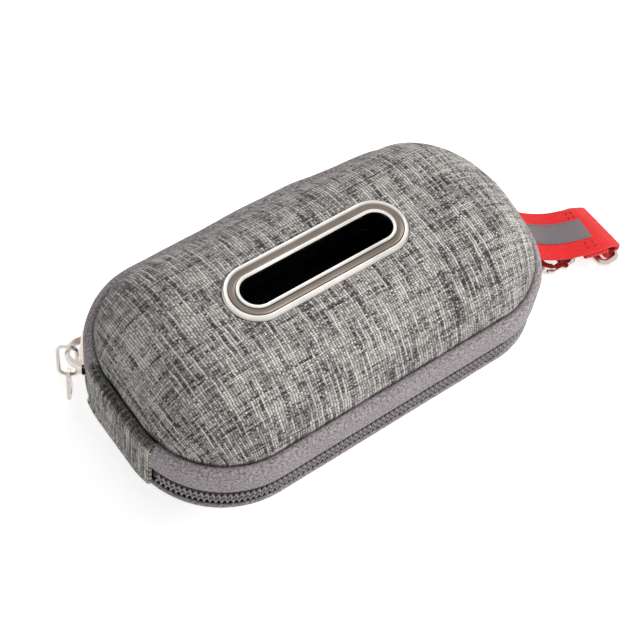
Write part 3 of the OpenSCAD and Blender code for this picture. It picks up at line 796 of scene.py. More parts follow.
@dataclass
class CaseShape:
    """Sizes of the case in millimetres and the outline that every wall follows."""

    length: float = 110.0
    width: float = 60.5
    corner: float = 23.2
    zip_z: float = 21.5
    lid_h: float = 27.4
    zip_half: float = 3.0
    band_h: float = 8.1
    seam_in: float = 2.6
    shoulder: float = 20.4
    base_slant: float = 38.0
    base_r: float = 15.0
    base_band: float = 6.5
    base_seam_in: float = 2.2
    slot_l: float = 40.0
    slot_w: float = 7.5
    slot_x: float = -3.1
    slider_turn: float = 38.0
    gusset_half: float = 12.7
    shoulder_end: float = 17.0
    slump_top: float = 26.0
    slump_fade: float = 9.0
    hump: float = 0.4
    hump_rise: float = 1.8

    def __post_init__(self) -> None:
        """Works out the outline's stations and the two wall arcs."""
        self.run_x = self.length - 2 * self.corner
        self.run_y = self.width - 2 * self.corner
        quarter = self.corner * math.pi / 2
        steps = [
            self.run_y / 2, quarter, self.run_x, quarter, self.run_y,
            quarter, self.run_x, quarter, self.run_y / 2,
        ]
        self.marks = np.concatenate([[0.0], np.cumsum(steps)])
        hx, hy = self.run_x / 2, self.run_y / 2
        self.mark_x = np.array([-hx, -hx, -hx, hx, hx, hx, hx, -hx, -hx, -hx])
        self.mark_y = np.array([0, hy, hy, hy, hy, -hy, -hy, -hy, -hy, 0])
        self.mark_turn = np.radians([180, 180, 90, 90, 0, 0, -90, -90, -180, -180])
        self.seam_h = self.zip_half + self.band_h
        rise = self.lid_h - self.seam_h
        self.crown_r = (self.shoulder**2 + rise**2) / (2 * rise)
        self.crown_u = self.seam_in + self.shoulder
        self.crown_z = self.lid_h - self.crown_r
        self.slope = math.radians(self.base_slant)
        self.base_cz = self.base_r - self.zip_z
        self.base_cu = self.base_seam_in + (
            self.base_r - (self.base_cz + self.base_band) * math.sin(self.slope)
        ) / math.cos(self.slope)
        past_corner = math.asin((self.gusset_half - self.run_y / 2) / self.corner)
        self.gusset_s = self.run_y / 2 + self.corner * past_corner

    @property
    def round_trip(self) -> float:
        """Length of the outline."""
        return float(self.marks[-1])

    def base_line(self, z: Array | float) -> Array | float:
        """Inset of the base's sloping face at a height."""
        return self.base_seam_in - (np.asarray(z) + self.base_band) * math.tan(self.slope)

    def stations(self, s: Array) -> tuple[Array, Array]:
        """Corner centres and outward directions at distances along the outline from the hinge end's middle.

        Args:
            s: Distances in millimetres.

        Returns:
            The corner centre and the unit direction outwards at each distance.
        """
        s = np.mod(s, self.round_trip)
        turn = np.interp(s, self.marks, self.mark_turn)
        root = np.stack([np.interp(s, self.marks, self.mark_x), np.interp(s, self.marks, self.mark_y)], -1)
        return root, np.stack([np.cos(turn), np.sin(turn)], -1)

    def carry(self, s: Array, profile: Array) -> Array:
        """Carries a profile of (inset, height from the zip) round the outline: columns follow s.

        Args:
            s: Distances along the outline.
            profile: Rows of (inset, height from the zip).

        Returns:
            Rows by columns by xyz, in millimetres.
        """
        root, out = self.stations(s)
        reach = (self.corner - profile[:, 0])[:, None, None]
        plan = root[None] + reach * out[None]
        tall = np.broadcast_to((profile[:, 1] + self.zip_z)[:, None, None], plan.shape[:2] + (1,))
        return np.concatenate([plan, tall], -1)

    def inset(self, plan: Array) -> tuple[Array, Array]:
        """Distance of plan points inside the outline, and the direction to the nearest edge.

        Args:
            plan: Points of the plan.

        Returns:
            The distance inside the outline and the unit direction outwards.
        """
        q = np.abs(plan) - np.array([self.run_x / 2, self.run_y / 2])
        outer = np.maximum(q, 0)
        far = np.linalg.norm(outer, axis=-1)
        u = self.corner - far - np.minimum(q.max(-1), 0)
        return u, np.sign(plan) * outer / np.maximum(far, 1e-9)[..., None]

    def crown_height(self, u: Array, depth: float = 0.0) -> Array:
        """Height above the zip at a depth under the crown: a circle up to the shoulder's end, then flat.

        Args:
            u: Distance inside the outline.
            depth: Depth under the crown's face.

        Returns:
            The height for each distance.
        """
        r = self.crown_r - depth
        du = np.clip(self.crown_u - u, 0, r)
        return self.crown_z + np.sqrt(np.maximum(r**2 - du**2, 0))

    def draw_in(self, rim: Array, hole: float, depth: float = 0.0) -> Array:
        """Rows from a ring of points straight in to the slot, each at the crown's height there.

        Args:
            rim: Ring of points.
            hole: How far from the slot's edge the rows end.
            depth: Depth under the crown's face.

        Returns:
            Rows by columns by xyz, in millimetres.
        """
        plan = rim[:, :2]
        half = (self.slot_l - self.slot_w) / 2
        spine_x = np.clip(plan[:, 0] - self.slot_x, -half, half) + self.slot_x
        spine = np.stack([spine_x, np.zeros(len(plan))], -1)
        away = unit(plan - spine)
        edge = spine + away * (self.slot_w / 2 + hole)
        t = (np.arange(1, 21) / 20)[:, None, None]
        inner = plan[None] * (1 - t) + edge[None] * t
        tall = self.crown_height(self.inset(inner)[0], depth) + self.zip_z
        return np.concatenate([inner, tall[..., None]], -1)

    def dome(self, s: Array, depth: float, low: float, hole: float) -> Array:
        """Rows of the lid at a depth under its cloth: up the wall, over the shoulder and in to the slot.

        Args:
            s: Distances along the outline.
            depth: Depth under the cloth.
            low: Height above the zip of the first row.
            hole: How far from the slot's edge the rows end.

        Returns:
            Rows by columns by xyz, in millimetres.
        """
        r = self.crown_r - depth
        lift = np.linspace(0, math.acos((self.crown_u - self.shoulder_end) / r), 30)
        wall = np.stack([self.crown_u - r * np.cos(lift), self.crown_z + r * np.sin(lift)], -1)
        foot = np.linspace([wall[0, 0], low], wall[0], 4)[:-1]
        side = self.carry(s, np.vstack([foot, wall]))
        return np.concatenate([side, self.draw_in(side[-1], hole, depth)])

    def basin(self, s: Array, depth: float, top: float) -> Array:
        """Rows of the base at a depth under its cloth: down the slope, round the edge, in to the middle.

        Args:
            s: Distances along the outline.
            depth: Depth under the cloth.
            top: Height from the zip of the first row.

        Returns:
            Rows by columns by xyz, in millimetres.
        """
        r = self.base_r - depth
        arc = np.linspace(self.slope, math.pi / 2, 22)
        curve = np.stack([self.base_cu - r * np.cos(arc), self.base_cz - r * np.sin(arc)], -1)
        start = [float(self.base_line(top)) + depth / math.cos(self.slope), top]
        side = self.carry(s, np.vstack([np.linspace(start, curve[0], 8)[:-1], curve]))
        plan = side[-1, :, :2]
        middle = np.stack([np.clip(plan[:, 0], -self.run_x / 2, self.run_x / 2), np.zeros(len(plan))], -1)
        t = (np.arange(1, 11) / 10)[:, None, None]
        floor = plan[None] * (1 - t) + middle[None] * t
        return np.concatenate([side, np.concatenate([floor, np.full(floor.shape[:2] + (1,), depth)], -1)])

    def slump(self, points: Array, share: Array | float = 1.0) -> Array:
        """How far the soft lid stands out of its true outline: none at the zip, all of it from the seam up.

        Each table gives millimetres at bearings from the case's middle: the band and the crown above it
        each lean their own way, as a padded lid does after use.

        Args:
            points: Rows by columns by xyz.
            share: 0 takes the band's table and 1 the crown's; between them the two are mixed.

        Returns:
            The distance outwards for each point.
        """
        bearing = np.degrees(np.arctan2(points[..., 1] / self.width, points[..., 0] / self.length))
        band, crown = np.interp(bearing, *BAND_SLUMP), np.interp(bearing, *CROWN_SLUMP)
        level = points[..., 2] - self.zip_z
        rise = np.clip((level - self.zip_half) / (self.seam_h - self.zip_half), 0, 1)
        fade = np.clip((self.slump_top - level) / self.slump_fade, 0, 1)
        return (band * (1 - share) + crown * share) * ease(rise) * ease(fade)

    def padding(self, points: Array) -> Array:
        """How far the crown and its lining stand out: the slump, and a hump just over the seam's crease.

        Args:
            points: Rows by columns by xyz, in millimetres.

        Returns:
            The distance outwards for each point.
        """
        above = np.maximum(points[..., 2] - self.zip_z - self.seam_h, 0)
        above = above / self.hump_rise
        return self.slump(points) + self.hump * above * np.exp(1 - above)

    def crown_unrolled(self, plan: Array) -> Array:
        """The cloth's flat pattern: each point pushed out by the arc length that the shoulder hides.

        Args:
            plan: Points of the crown's plan.

        Returns:
            The pattern's coordinates in millimetres.
        """
        u, out = self.inset(plan)
        du = np.clip(self.crown_u - u, 0, self.crown_r)
        extra = self.crown_r * np.arcsin(np.clip(du / self.crown_r, 0, 1)) - du
        return plan + out * extra[..., None]


@dataclass
class CrownAndBowl:
    """The woven cloth of the lid's crown and of the base."""

    shape: CaseShape
    finish: FinishSet
    columns: int = 420
    cloth: float = 0.7
    rim_hole: float = 0.5
    pucker_height: float = 2.2
    sloping_rows: int = 31

    def build(self) -> list[bpy.types.Object]:
        """Both covers."""
        return [self.crown(), self.bowl()]

    def crown(self) -> bpy.types.Object:
        """Crown from inside the seam's crease up the shoulder, then drawn in to the slot's edge.

        The shoulder's rows follow the wall's circle, moved out or in with the padding. Along the seam the
        cloth puckers: a sum of sines that falls off with the height.

        Returns:
            The new piece.
        """
        c = self.shape
        s = np.linspace(0, c.round_trip, self.columns, endpoint=False)
        low, high = (math.acos((c.crown_u - inset) / c.crown_r) for inset in (c.seam_in, c.shoulder_end))
        lift = np.linspace(low, high, 46)
        below = np.array([1.7, 1.25, 0.6])
        tuck = np.stack([c.seam_in + np.array([0.55, 0.25, 0.06]), c.seam_h - below], -1)
        wall = np.stack([c.crown_u - c.crown_r * np.cos(lift), c.crown_z + c.crown_r * np.sin(lift)], -1)
        side = c.carry(s, np.vstack([tuck, wall]))
        points = np.concatenate([side, c.draw_in(side[-1], self.rim_hole)])
        _, out = c.stations(s)
        over = np.maximum(points[..., 2] - c.zip_z - c.seam_h, 0)
        pucker = ripple(s, ((7.3, 0.05, 0.4), (11.9, 0.07, 2.2), (4.1, 0.03, 1.0)))
        push = np.exp(-over / self.pucker_height) * pucker[None] + c.padding(points)
        points[..., :2] += push[..., None] * out[None]
        uv = c.crown_unrolled(points[..., :2])
        uv[:3] = uv[3][None] + below[:, None, None] * out[None]
        uv = np.concatenate([uv, uv[:, :1]], 1)
        piece = surface("crown_canvas", points, uv, self.finish.canvas, "lid", wrap_cols=True, flip=True)
        thicken(piece, self.cloth)
        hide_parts("lid_cover")
        return piece

    def bowl(self) -> bpy.types.Object:
        """Base cloth: sloping side, rounded edge and flat underside closed along its middle line.

        The pattern is the plan, with each row pushed out by the length that its slope hides from above.

        Returns:
            The new piece.
        """
        c = self.shape
        s = np.linspace(0, c.round_trip, self.columns, endpoint=False)
        rows = c.basin(s, 0.0, -c.base_band)
        tuck = np.array([[0.55, 0.5], [0.12, 0.05]]) + [c.base_seam_in, -c.base_band]
        top = c.carry(s, tuck)
        points = np.concatenate([top, rows])
        _, out = c.stations(s)
        sloping = self.sloping_rows
        run = arc_length(points[:sloping, 0])
        inward = c.inset(points[:sloping, 0, :2])[0]
        hidden = (run[-1] - run) - (inward[-1] - inward)
        uv = points[..., :2].copy()
        uv[:sloping] += hidden[:, None, None] * out[None]
        uv = np.concatenate([uv, uv[:, :1]], 1)
        piece = surface("bowl_canvas", points, uv, self.finish.canvas, "base", wrap_cols=True)
        weld(piece, 0.01)
        thicken(piece, self.cloth)
        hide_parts("base_cover")
        return piece


@dataclass
class SideBands:
    """The two smooth bands beside the zip and the canvas gusset that joins them at the hinge."""

    shape: CaseShape
    finish: FinishSet
    columns: int = 640
    lid_cloth: float = 0.9
    base_cloth: float = 0.8
    canvas: float = 0.6
    under_gusset: float = 0.6
    fold: float = 1.1
    base_fold: float = 0.55
    crest_share: float = 0.62

    def build(self) -> list[bpy.types.Object]:
        """Both bands and the gusset."""
        return [self.upper(), self.lower(), self.gusset()]

    def _span(self) -> Array:
        """Distances from just under the gusset's back edge round to just under its front edge."""
        start = self.shape.gusset_s - self.under_gusset
        return np.linspace(start, self.shape.round_trip - start, self.columns)

    def _sheet(
        self, name: str, s: Array, profile: Array, material: bpy.types.Material, body: str, puff: float
    ) -> bpy.types.Object:
        """Carries one band's profile along s, with slight swells, and unrolls its pattern.

        Args:
            name: Name of the piece.
            s: Distances along the outline.
            profile: Rows of (inset, height from the zip).
            material: Its finish.
            body: The body that it rides on.
            puff: Strength of the swells.

        Returns:
            The new piece.
        """
        c = self.shape
        points = c.carry(s, profile)
        _, out = c.stations(s)
        run = arc_length(profile)
        middle = np.sin(np.pi * run / run[-1]) ** 2
        swell = ripple(s, ((17.0, 0.05, 0.3), (41.0, 0.08, 1.9), (6.7, 0.02, 4.0))) * puff
        share = np.clip(profile[:, :1] / c.seam_in, 0, 1)
        push = middle[:, None] * swell[None] + (c.slump(points, share) if body == "lid" else 0.0)
        points[..., :2] += push[..., None] * out[None]
        uv = np.stack(np.meshgrid(s, run), -1)
        return surface(name, points, uv, material, body, flip=True)

    def upper_profile(self) -> Array:
        """Fold at the zip, straight wall and the rolled shoulder that dives into the crown's seam.

        The shoulder is an ellipse whose crest is level with the seam; it falls away behind the crest, so
        that a crease is left against the crown.

        Returns:
            Rows of (inset, height from the zip).
        """
        c = self.shape
        fold = np.linspace(-math.pi / 2, -math.pi, 9)
        roll = np.linspace(math.pi, 0.3 * math.pi, 19)
        t, half, rise = self.fold, c.seam_in * self.crest_share, c.seam_in
        bottom = np.stack([t + t * np.cos(fold), c.zip_half + t + t * np.sin(fold)], -1)
        top = np.stack([half + half * np.cos(roll), c.seam_h - rise + rise * np.sin(roll)], -1)
        wall = np.linspace(bottom[-1], top[0], 7)[1:-1]
        dive = np.array([[c.seam_in + 0.08, c.seam_h - 1.0], [c.seam_in + 0.2, c.seam_h - 1.7]])
        return np.vstack([bottom, wall, top, dive])

    def upper(self) -> bpy.types.Object:
        """Band of the lid.

        Returns:
            The new piece.
        """
        profile = self.upper_profile()
        piece = self._sheet("upper_band_twill", self._span(), profile, self.finish.twill, "lid", 1.0)
        thicken(piece, self.lid_cloth)
        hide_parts("lid_band")
        return piece

    def lower_profile(self) -> Array:
        """Rounded fold beside the zip, then the sloping strip down to the base's seam.

        Returns:
            Rows of (inset, height from the zip).
        """
        c = self.shape
        r = self.base_fold
        z0 = -c.zip_half - r
        u0 = float(c.base_line(z0)) + r / math.cos(c.slope)
        turn = np.linspace(math.pi * 0.35, math.pi, 11)
        fold = np.stack([u0 + r * np.cos(turn), z0 + r * np.sin(turn)], -1)
        z = np.linspace(z0 - 0.35, -c.base_band + 0.1, 8)
        face = np.stack([c.base_line(z) + 0.01, z], -1)
        tuck = np.array([[c.base_seam_in + 0.35, -c.base_band - 0.1]])
        return np.vstack([fold, face, tuck])

    def lower(self) -> bpy.types.Object:
        """Band of the base.

        Returns:
            The new piece.
        """
        profile = self.lower_profile()
        piece = self._sheet("lower_band_twill", self._span(), profile, self.finish.twill, "base", 0.5)
        piece.data.flip_normals()
        thicken(piece, self.base_cloth)
        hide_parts("base_band")
        return piece

    def gusset(self) -> bpy.types.Object:
        """Canvas strip over the hinge end: from the crown's seam down to the base's seam, edges turned in.

        Returns:
            The new piece.
        """
        c = self.shape
        upper = self.upper_profile()[9:]
        lower = self.lower_profile()[11:]
        under_zip = [float(c.base_line(-c.zip_half)) * 0.6, -c.zip_half - 0.6]
        wall_low = np.array([under_zip, [0.12, -c.zip_half + 0.6]])
        straight = np.linspace([0.0, -1.2], [0.0, c.zip_half + 1.0], 9)
        profile = np.vstack([lower[::-1], wall_low, straight, upper])
        keep = np.concatenate([[True], np.linalg.norm(np.diff(profile, axis=0), axis=1) > 0.02])
        profile = profile[keep]
        across = np.linspace(-c.gusset_s, c.gusset_s, 70)
        s = np.concatenate([[-c.gusset_s - 0.1], across, [c.gusset_s + 0.1]])
        proud = np.full(len(s), 0.3)
        proud[[0, -1]] = -0.35
        proud[[1, -2]] = 0.12
        points = c.carry(s, profile)
        _, out = c.stations(s)
        run = arc_length(profile)
        taper = np.clip(np.minimum(run, run[-1] - run) / 1.2, 0, 1)
        push = taper[:, None] * proud[None] + c.slump(points, np.clip(profile[:, :1] / c.seam_in, 0, 1))
        points[..., :2] += push[..., None] * out[None]
        uv = np.stack(np.meshgrid(s + 7.0, run - 60.0), -1)
        piece = surface("hinge_canvas", points, uv, self.finish.canvas, None, flip=True)
        thicken(piece, self.canvas)
        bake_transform(piece)
        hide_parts("hinge_gusset")
        return piece


@dataclass
class CoilZip:
    """Tape and nylon coil on both sides of the opening."""

    shape: CaseShape
    finish: FinishSet
    pitch: float = 1.3
    wire: float = 0.25
    turn_middle: float = 1.07
    turn_half: float = 0.66
    depth: float = 0.56
    lean: float = 0.13
    skew: float = 0.16
    squareness: float = 1.8
    steps: int = 16
    sides: int = 7
    tape_thick: float = 0.4

    def build(self) -> list[bpy.types.Object]:
        """Both coils, both tapes."""
        sides = (("upper", 1, "lid"), ("lower", -1, "base"))
        coils = [self.coil(f"{name}_coil", side, body, f"{body}_zip_coil") for name, side, body in sides]
        tapes = [self.tape(f"{name}_tape", side, body, f"{body}_zip_tape") for name, side, body in sides]
        return coils + tapes

    def coil(self, name: str, side: int, body: str, node: str) -> bpy.types.Object:
        """One monofilament wound into flattened turns.

        Along the track the height swings between the tape and the middle line as a squared-off cosine and
        the inset swings a quarter turn later, so that both legs of each turn show side by side.

        Args:
            name: Name of the piece.
            side: 1 above the middle line and -1 below it.
            body: The body that it rides on.
            node: The node that it replaces.

        Returns:
            The new piece.
        """
        c = self.shape
        start = c.run_y / 2 + c.corner * math.radians(c.slider_turn + 2)
        end = c.round_trip - c.gusset_s - 0.4
        turns = int((end - start) / self.pitch)
        turned = np.arange(turns * self.steps + 1) / self.steps
        phase = 2 * np.pi * (turned + (0.5 if side < 0 else 0.0))
        s = start + self.pitch * turned + self.skew * np.sin(phase)
        swing = np.tanh(self.squareness * np.cos(phase)) / math.tanh(self.squareness)
        height = side * (self.turn_middle - self.turn_half * swing)
        inset = self.depth - self.lean * np.sin(phase)
        root, out = c.stations(s)
        path = np.concatenate([root + (c.corner - inset)[:, None] * out, (height + c.zip_z)[:, None]], 1)
        ahead = unit(np.gradient(path, axis=0))
        along = np.stack([out[:, 1], -out[:, 0], np.zeros(len(s))], -1)
        first = unit(along - ahead * (along * ahead).sum(1)[:, None])
        second = np.cross(ahead, first)
        turn = np.linspace(0, 2 * np.pi, self.sides, endpoint=False)
        ring = np.cos(turn)[None, :, None] * first[:, None] + np.sin(turn)[None, :, None] * second[:, None]
        rings = path[:, None] + self.wire * ring
        uv = np.stack(np.meshgrid(np.linspace(0, 2, self.sides + 1), s), -1)
        piece = surface(name, rings, uv, self.finish.nylon, body, wrap_cols=True)
        close_ends(piece, len(path), self.sides)
        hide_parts(node)
        return piece

    def tape(self, name: str, side: int, body: str, node: str) -> bpy.types.Object:
        """Tape behind the coil, from just behind the middle line to deep under the band.

        Args:
            name: Name of the piece.
            side: 1 above the middle line and -1 below it.
            body: The body that it rides on.
            node: The node that it replaces.

        Returns:
            The new piece.
        """
        c = self.shape
        s = np.linspace(c.gusset_s - 0.4, c.round_trip - c.gusset_s + 0.4, 420)
        if side > 0:
            profile = np.array([[1.16, 0.35], [1.14, 1.2], [1.14, 2.2], [1.2, 3.0], [1.3, 3.8], [1.34, 6.0]])
            first = s < c.run_y / 2 + c.corner * math.radians(c.slider_turn + 14)
            points = c.carry(s, profile)
            points[:3, first, 2] = c.zip_z + 3.2
        else:
            profile = np.array(
                [[1.16, -0.35], [1.14, -1.2], [1.14, -2.2], [1.3, -2.9], [2.3, -3.25], [3.2, -4.2]]
            )
            points = c.carry(s, profile)
        run = arc_length(profile)
        uv = np.stack(np.meshgrid(s, run), -1)
        piece = surface(name, points, uv, self.finish.tape, body, flip=side > 0)
        thicken(piece, self.tape_thick)
        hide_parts(node)
        return piece


@dataclass
class SlotRim:
    """Pressed metal rim round the slot: outer lip, shallow groove and raised inner lip."""

    shape: CaseShape
    finish: FinishSet
    tube_foot: float = 4.909
    throat_edge: float = 0.35

    def build(self) -> bpy.types.Object:
        """Carries the rim's profile of (distance out from the slot, height over the crown) round the slot.

        Returns:
            The new piece.
        """
        c = self.shape
        lip = np.radians(np.linspace(180, -20, 22))
        inner = np.stack([0.5 + 0.5 * np.cos(lip), 0.58 + 0.5 * np.sin(lip)], -1)
        groove = np.array([[1.15, 0.3], [1.4, 0.26], [1.8, 0.27], [2.2, 0.33], [2.48, 0.42]])
        ridge = np.radians(np.linspace(150, 20, 16))
        outer = np.stack([3.08 + 0.6 * np.cos(ridge), 0.22 + 0.62 * np.sin(ridge)], -1)
        skirt = np.array([[3.85, 0.26], [4.03, -0.02], [3.9, -0.14], [2.6, -0.12]])
        foot = -self.tube_foot
        tube = [[2.2, -0.12], [0.95, -0.12], [0.82, -0.4], [0.8, foot + 0.5]]
        flange = [[2.1, foot + 0.45], [2.2, foot + 0.2], [2.0, foot + 0.02], [0.3, foot], [0.0, foot + 0.3]]
        under = np.array([*tube, *flange, [0.0, 0.0]])
        profile = np.vstack([inner, groove, outer, skirt, under])
        half = (c.slot_l - c.slot_w) / 2
        bend = np.linspace(-np.pi / 2, np.pi / 2, 49)
        right = np.stack([np.cos(bend), np.sin(bend)], -1)
        side = np.linspace(0, 1, 25)[1:-1]
        up = np.repeat([[0.0, 1.0]], len(side), 0)
        out = np.concatenate([right, up, -right, -up])
        end = np.full(len(bend), half)
        across = np.concatenate([end, half - 2 * half * side, -end, 2 * half * side - half])
        centre = np.stack([across + c.slot_x, np.zeros(len(across))], -1)
        plan = centre[None] + (profile[:, 0] + c.slot_w / 2)[:, None, None] * out[None]
        droop = c.lid_h - c.crown_height(c.inset(plan)[0])
        tall = profile[:, 1][:, None] + c.zip_z + c.lid_h - droop
        points = np.concatenate([plan, tall[..., None]], -1)
        length = np.arange(len(out) + 1) * 1.0
        uv = np.stack(np.meshgrid(length, np.append(profile[:, 0], profile[0, 0])), -1)
        piece = surface("rim_plate", points, uv, self.finish.grooved, "lid", wrap_rows=True, wrap_cols=True)
        weld(piece, 0.001, outward=True)
        # The faces inside the slot's throat take the near-black steel, as painted shade.
        piece.data.materials.append(self.finish.throat_painted_shade)
        flat = np.empty(len(piece.data.polygons) * 3)
        piece.data.polygons.foreach_get("center", flat)
        x, y, z = flat.reshape(-1, 3).T / MM
        under = z < c.zip_z + c.lid_h + 0.12
        middle = np.abs(y) < c.slot_w / 2 + self.throat_edge
        inside = np.abs(x - c.slot_x) < c.slot_l / 2 + self.throat_edge
        piece.data.polygons.foreach_set("material_index", (under & middle & inside).astype(np.int32))
        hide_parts("slot_rim")
        return piece


@dataclass
class StrapEnd:
    """Webbing strap with its reflective stripe, and the tab of the ring."""

    shape: CaseShape
    finish: FinishSet
    width: float = 15.0
    thick: float = 1.4
    tab_thick: float = 1.0
    stripe: float = 6.4
    drift: float = -8.6
    hook_x: float = 72.5
    hook_l: float = 10.1
    hook_z: float = 2.8
    eye_d: float = 2.0
    stripe_end: float = 5.0
    stripe_low: float = 4.2
    seam_room: float = 0.6
    ring_wire: float = 2.2
    clear: float = 0.15

    def __post_init__(self) -> None:
        """Repeats the places that the strap, tab and hook share."""
        c = self.shape
        self.root_x = c.length / 2 - c.base_seam_in - self.seam_room
        self.shift = c.base_seam_in + self.seam_room - 4
        self.root_z = c.zip_z - 5.2
        self.tab_z = c.zip_z - c.base_band
        self.span = self.hook_x + self.hook_l + 6.4 - self.root_x
        self.ring_x, self.ring_z = c.length / 2 + 3.5, 2.8
        edge = float(c.base_line(self.root_z + self.thick / 2 - c.zip_z))
        self.stripe_start = c.length / 2 - self.root_x - edge + 0.6

    def build(self) -> list[bpy.types.Object]:
        """Strap, stripe, tab and the rows of stitches that hold them."""
        return [self.strap(), self.reflector(), self.tab()] + self.seams()

    def _route(self) -> list[tuple[float, float]]:
        """Side view of the strap: out of the seam, over, round the swivel's eye and back under itself.

        Returns:
            Points of (distance from the root, height).
        """
        wrap = self.eye_d / 2 + self.thick / 2 + 2 * self.clear
        z, h, end = self.root_z, self.hook_z, self.span
        falls = ((4, 0), (8, -0.8), (12, -2.4), (16, -5.1), (20, -6.8), (24, -7.7))
        over = [(end - 9.6, h + 5.4), (end - 5, h + 4.7), (end - 2, h + 3.7)]
        under = [(end - 2.3, h + 1.5), (end - 4, h + 2.6), (end - 6.5, h + 3.2), (end - 8.6, h + 3.6)]
        bend = self._bend(end, h, wrap, (50, 10, -30, -75, -120, -165))
        return [(0, z)] + self._from_seam(z, falls) + over + bend + under

    def _from_seam(self, z: float, falls: tuple[tuple[float, float], ...]) -> list[tuple[float, float]]:
        """Points given as (distance, fall), moved with the seam that the webbing comes out of."""
        return [(s + self.shift, z + fall) for s, fall in falls]

    @staticmethod
    def _bend(x: float, z: float, r: float, bearings: tuple[float, ...]) -> list[tuple[float, float]]:
        """Points round a centre at bearings in degrees."""
        return [(x + r * math.cos(math.radians(a)), z + r * math.sin(math.radians(a))) for a in bearings]

    def _under_stripe(self, trim: float) -> Array:
        """The strap's path where the stripe covers it.

        Args:
            trim: Length left out at both ends.

        Returns:
            Points of (distance from the root, height).
        """
        path = smooth_path(self._route(), 12)
        far = self.span - self.stripe_end - trim
        on_top = path[:, 1] > self.hook_z + self.stripe_low
        return path[(path[:, 0] > self.stripe_start + trim) & (path[:, 0] < far) & on_top]

    def _drift(self, s: Array) -> tuple[Array, Array]:
        """Sideways place and heading of the strap: half a cosine, level at both ends and steepest halfway.

        Args:
            s: Distances from the root.

        Returns:
            The place across the case and the heading in radians at each distance.
        """
        share = np.clip(s / (self.span - 2), 0, 1)
        slope = self.drift * np.pi / 2 / (self.span - 2) * np.sin(np.pi * share)
        return self.drift * (1 - np.cos(np.pi * share)) / 2, np.arctan(slope)

    def _band(
        self, name: str, path: Array, width: float, thick: float, lift: float, material: bpy.types.Material,
        drift: bool, bulge: float = 0.12,
    ) -> bpy.types.Object:
        """Sweeps a flat section with rounded selvedges along a side-view path.

        Args:
            name: Name of the piece.
            path: Side view, as (distance from the root, height).
            width: Width of the section.
            thick: Thickness of the section.
            lift: Distance of its middle over the path.
            material: Its finish.
            drift: Whether it leans sideways with the strap.
            bulge: How much thinner its edges are than its middle.

        Returns:
            The new piece.
        """
        ahead = unit(np.gradient(path, axis=0))
        up = np.stack([-ahead[:, 1], ahead[:, 0]], -1)
        edge = np.linspace(np.pi / 2, -np.pi / 2, 7)
        half, r = width / 2, thick / 2
        right = np.stack([half - r + r * np.cos(edge), r * np.sin(edge)], -1)
        flat = np.linspace(-1, 1, 15)[1:-1]
        top = np.stack([flat * (half - r), r * (1 - bulge * np.abs(flat) ** 6)], -1)
        section = np.vstack([top, right, (top * [1, -1])[::-1], (right * [-1, 1])[::-1]])
        side_at, turn = self._drift(path[:, 0]) if drift else (np.zeros(len(path)), np.zeros(len(path)))
        off = path[:, None] + up[:, None] * (section[None, :, 1:] + lift)
        x = self.root_x + off[..., 0] - section[None, :, 0] * np.sin(turn)[:, None]
        y = side_at[:, None] + section[None, :, 0] * np.cos(turn)[:, None]
        points = np.stack([x, y, off[..., 1]], -1)
        run = arc_length(path)
        across = np.append(section[:, 0] + np.where(section[:, 1] < 0, 40.0, 0.0), section[0, 0])
        uv = np.stack(np.meshgrid(across, run), -1)[..., ::-1]
        piece = surface(name, points, uv, material, "base", wrap_cols=True)
        close_ends(piece, len(path), len(section))
        return piece

    def strap(self) -> bpy.types.Object:
        """Red webbing from the seam to the swivel's eye and back.

        Returns:
            The new piece.
        """
        piece = self._band(
            "red_strap", smooth_path(self._route(), 10), self.width, self.thick, 0.0, self.finish.red, True
        )
        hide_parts("strap_webbing")
        return piece

    def reflector(self) -> bpy.types.Object:
        """Reflective tape sewn along the middle of the strap's upper face.

        Returns:
            The new piece.
        """
        piece = self._band(
            "reflective_tape", self._under_stripe(0.0), self.stripe, 0.3, self.thick / 2 + 0.2,
            self.finish.reflective, True, 0.0,
        )
        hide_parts("reflective_stripe")
        return piece

    def seams(self) -> list[bpy.types.Object]:
        """Two rows that hold the reflective tape, and two across the strap where it is turned back.

        Returns:
            The rows of stitches.
        """
        path = self._under_stripe(0.4)
        ahead = unit(np.gradient(path, axis=0))
        y, turn = self._drift(path[:, 0])
        up = np.stack([-ahead[:, 1], np.zeros(len(path)), ahead[:, 0]], -1)
        rows = []
        for name, side in (("tape_seam_near", -1), ("tape_seam_far", 1)):
            over = side * (self.stripe / 2 - 0.55)
            line = np.stack(
                [self.root_x + path[:, 0] - over * np.sin(turn), y + over * np.cos(turn), path[:, 1]], -1
            )
            line = line + up * (self.thick / 2 + 0.36)
            rows.append(sewing(name, line, up, self.finish.grey_thread, "base", 1.5, 1.1, 0.1))
        for name, back in (("fold_seam_inner", 8.0), ("fold_seam_outer", 6.2)):
            k = int(np.argmin(np.abs(path[:, 0] - (self.span - back))))
            across = np.concatenate([np.linspace(-6.6, -3.6, 10), np.linspace(3.6, 6.6, 10)])
            for part, span in (("left", across[:10]), ("right", across[10:])):
                line = np.stack(
                    [
                        self.root_x + path[k, 0] - span * math.sin(turn[k]), y[k] + span * math.cos(turn[k]),
                        np.full(10, path[k, 1]),
                    ],
                    -1,
                )
                rise = np.repeat(up[k : k + 1], 10, 0)
                rows.append(
                    sewing(
                        f"{name}_{part}", line + rise * (self.thick / 2 + 0.02), rise, self.finish.red_thread,
                        "base", 1.4, 1.1, 0.13,
                    )
                )
        return rows

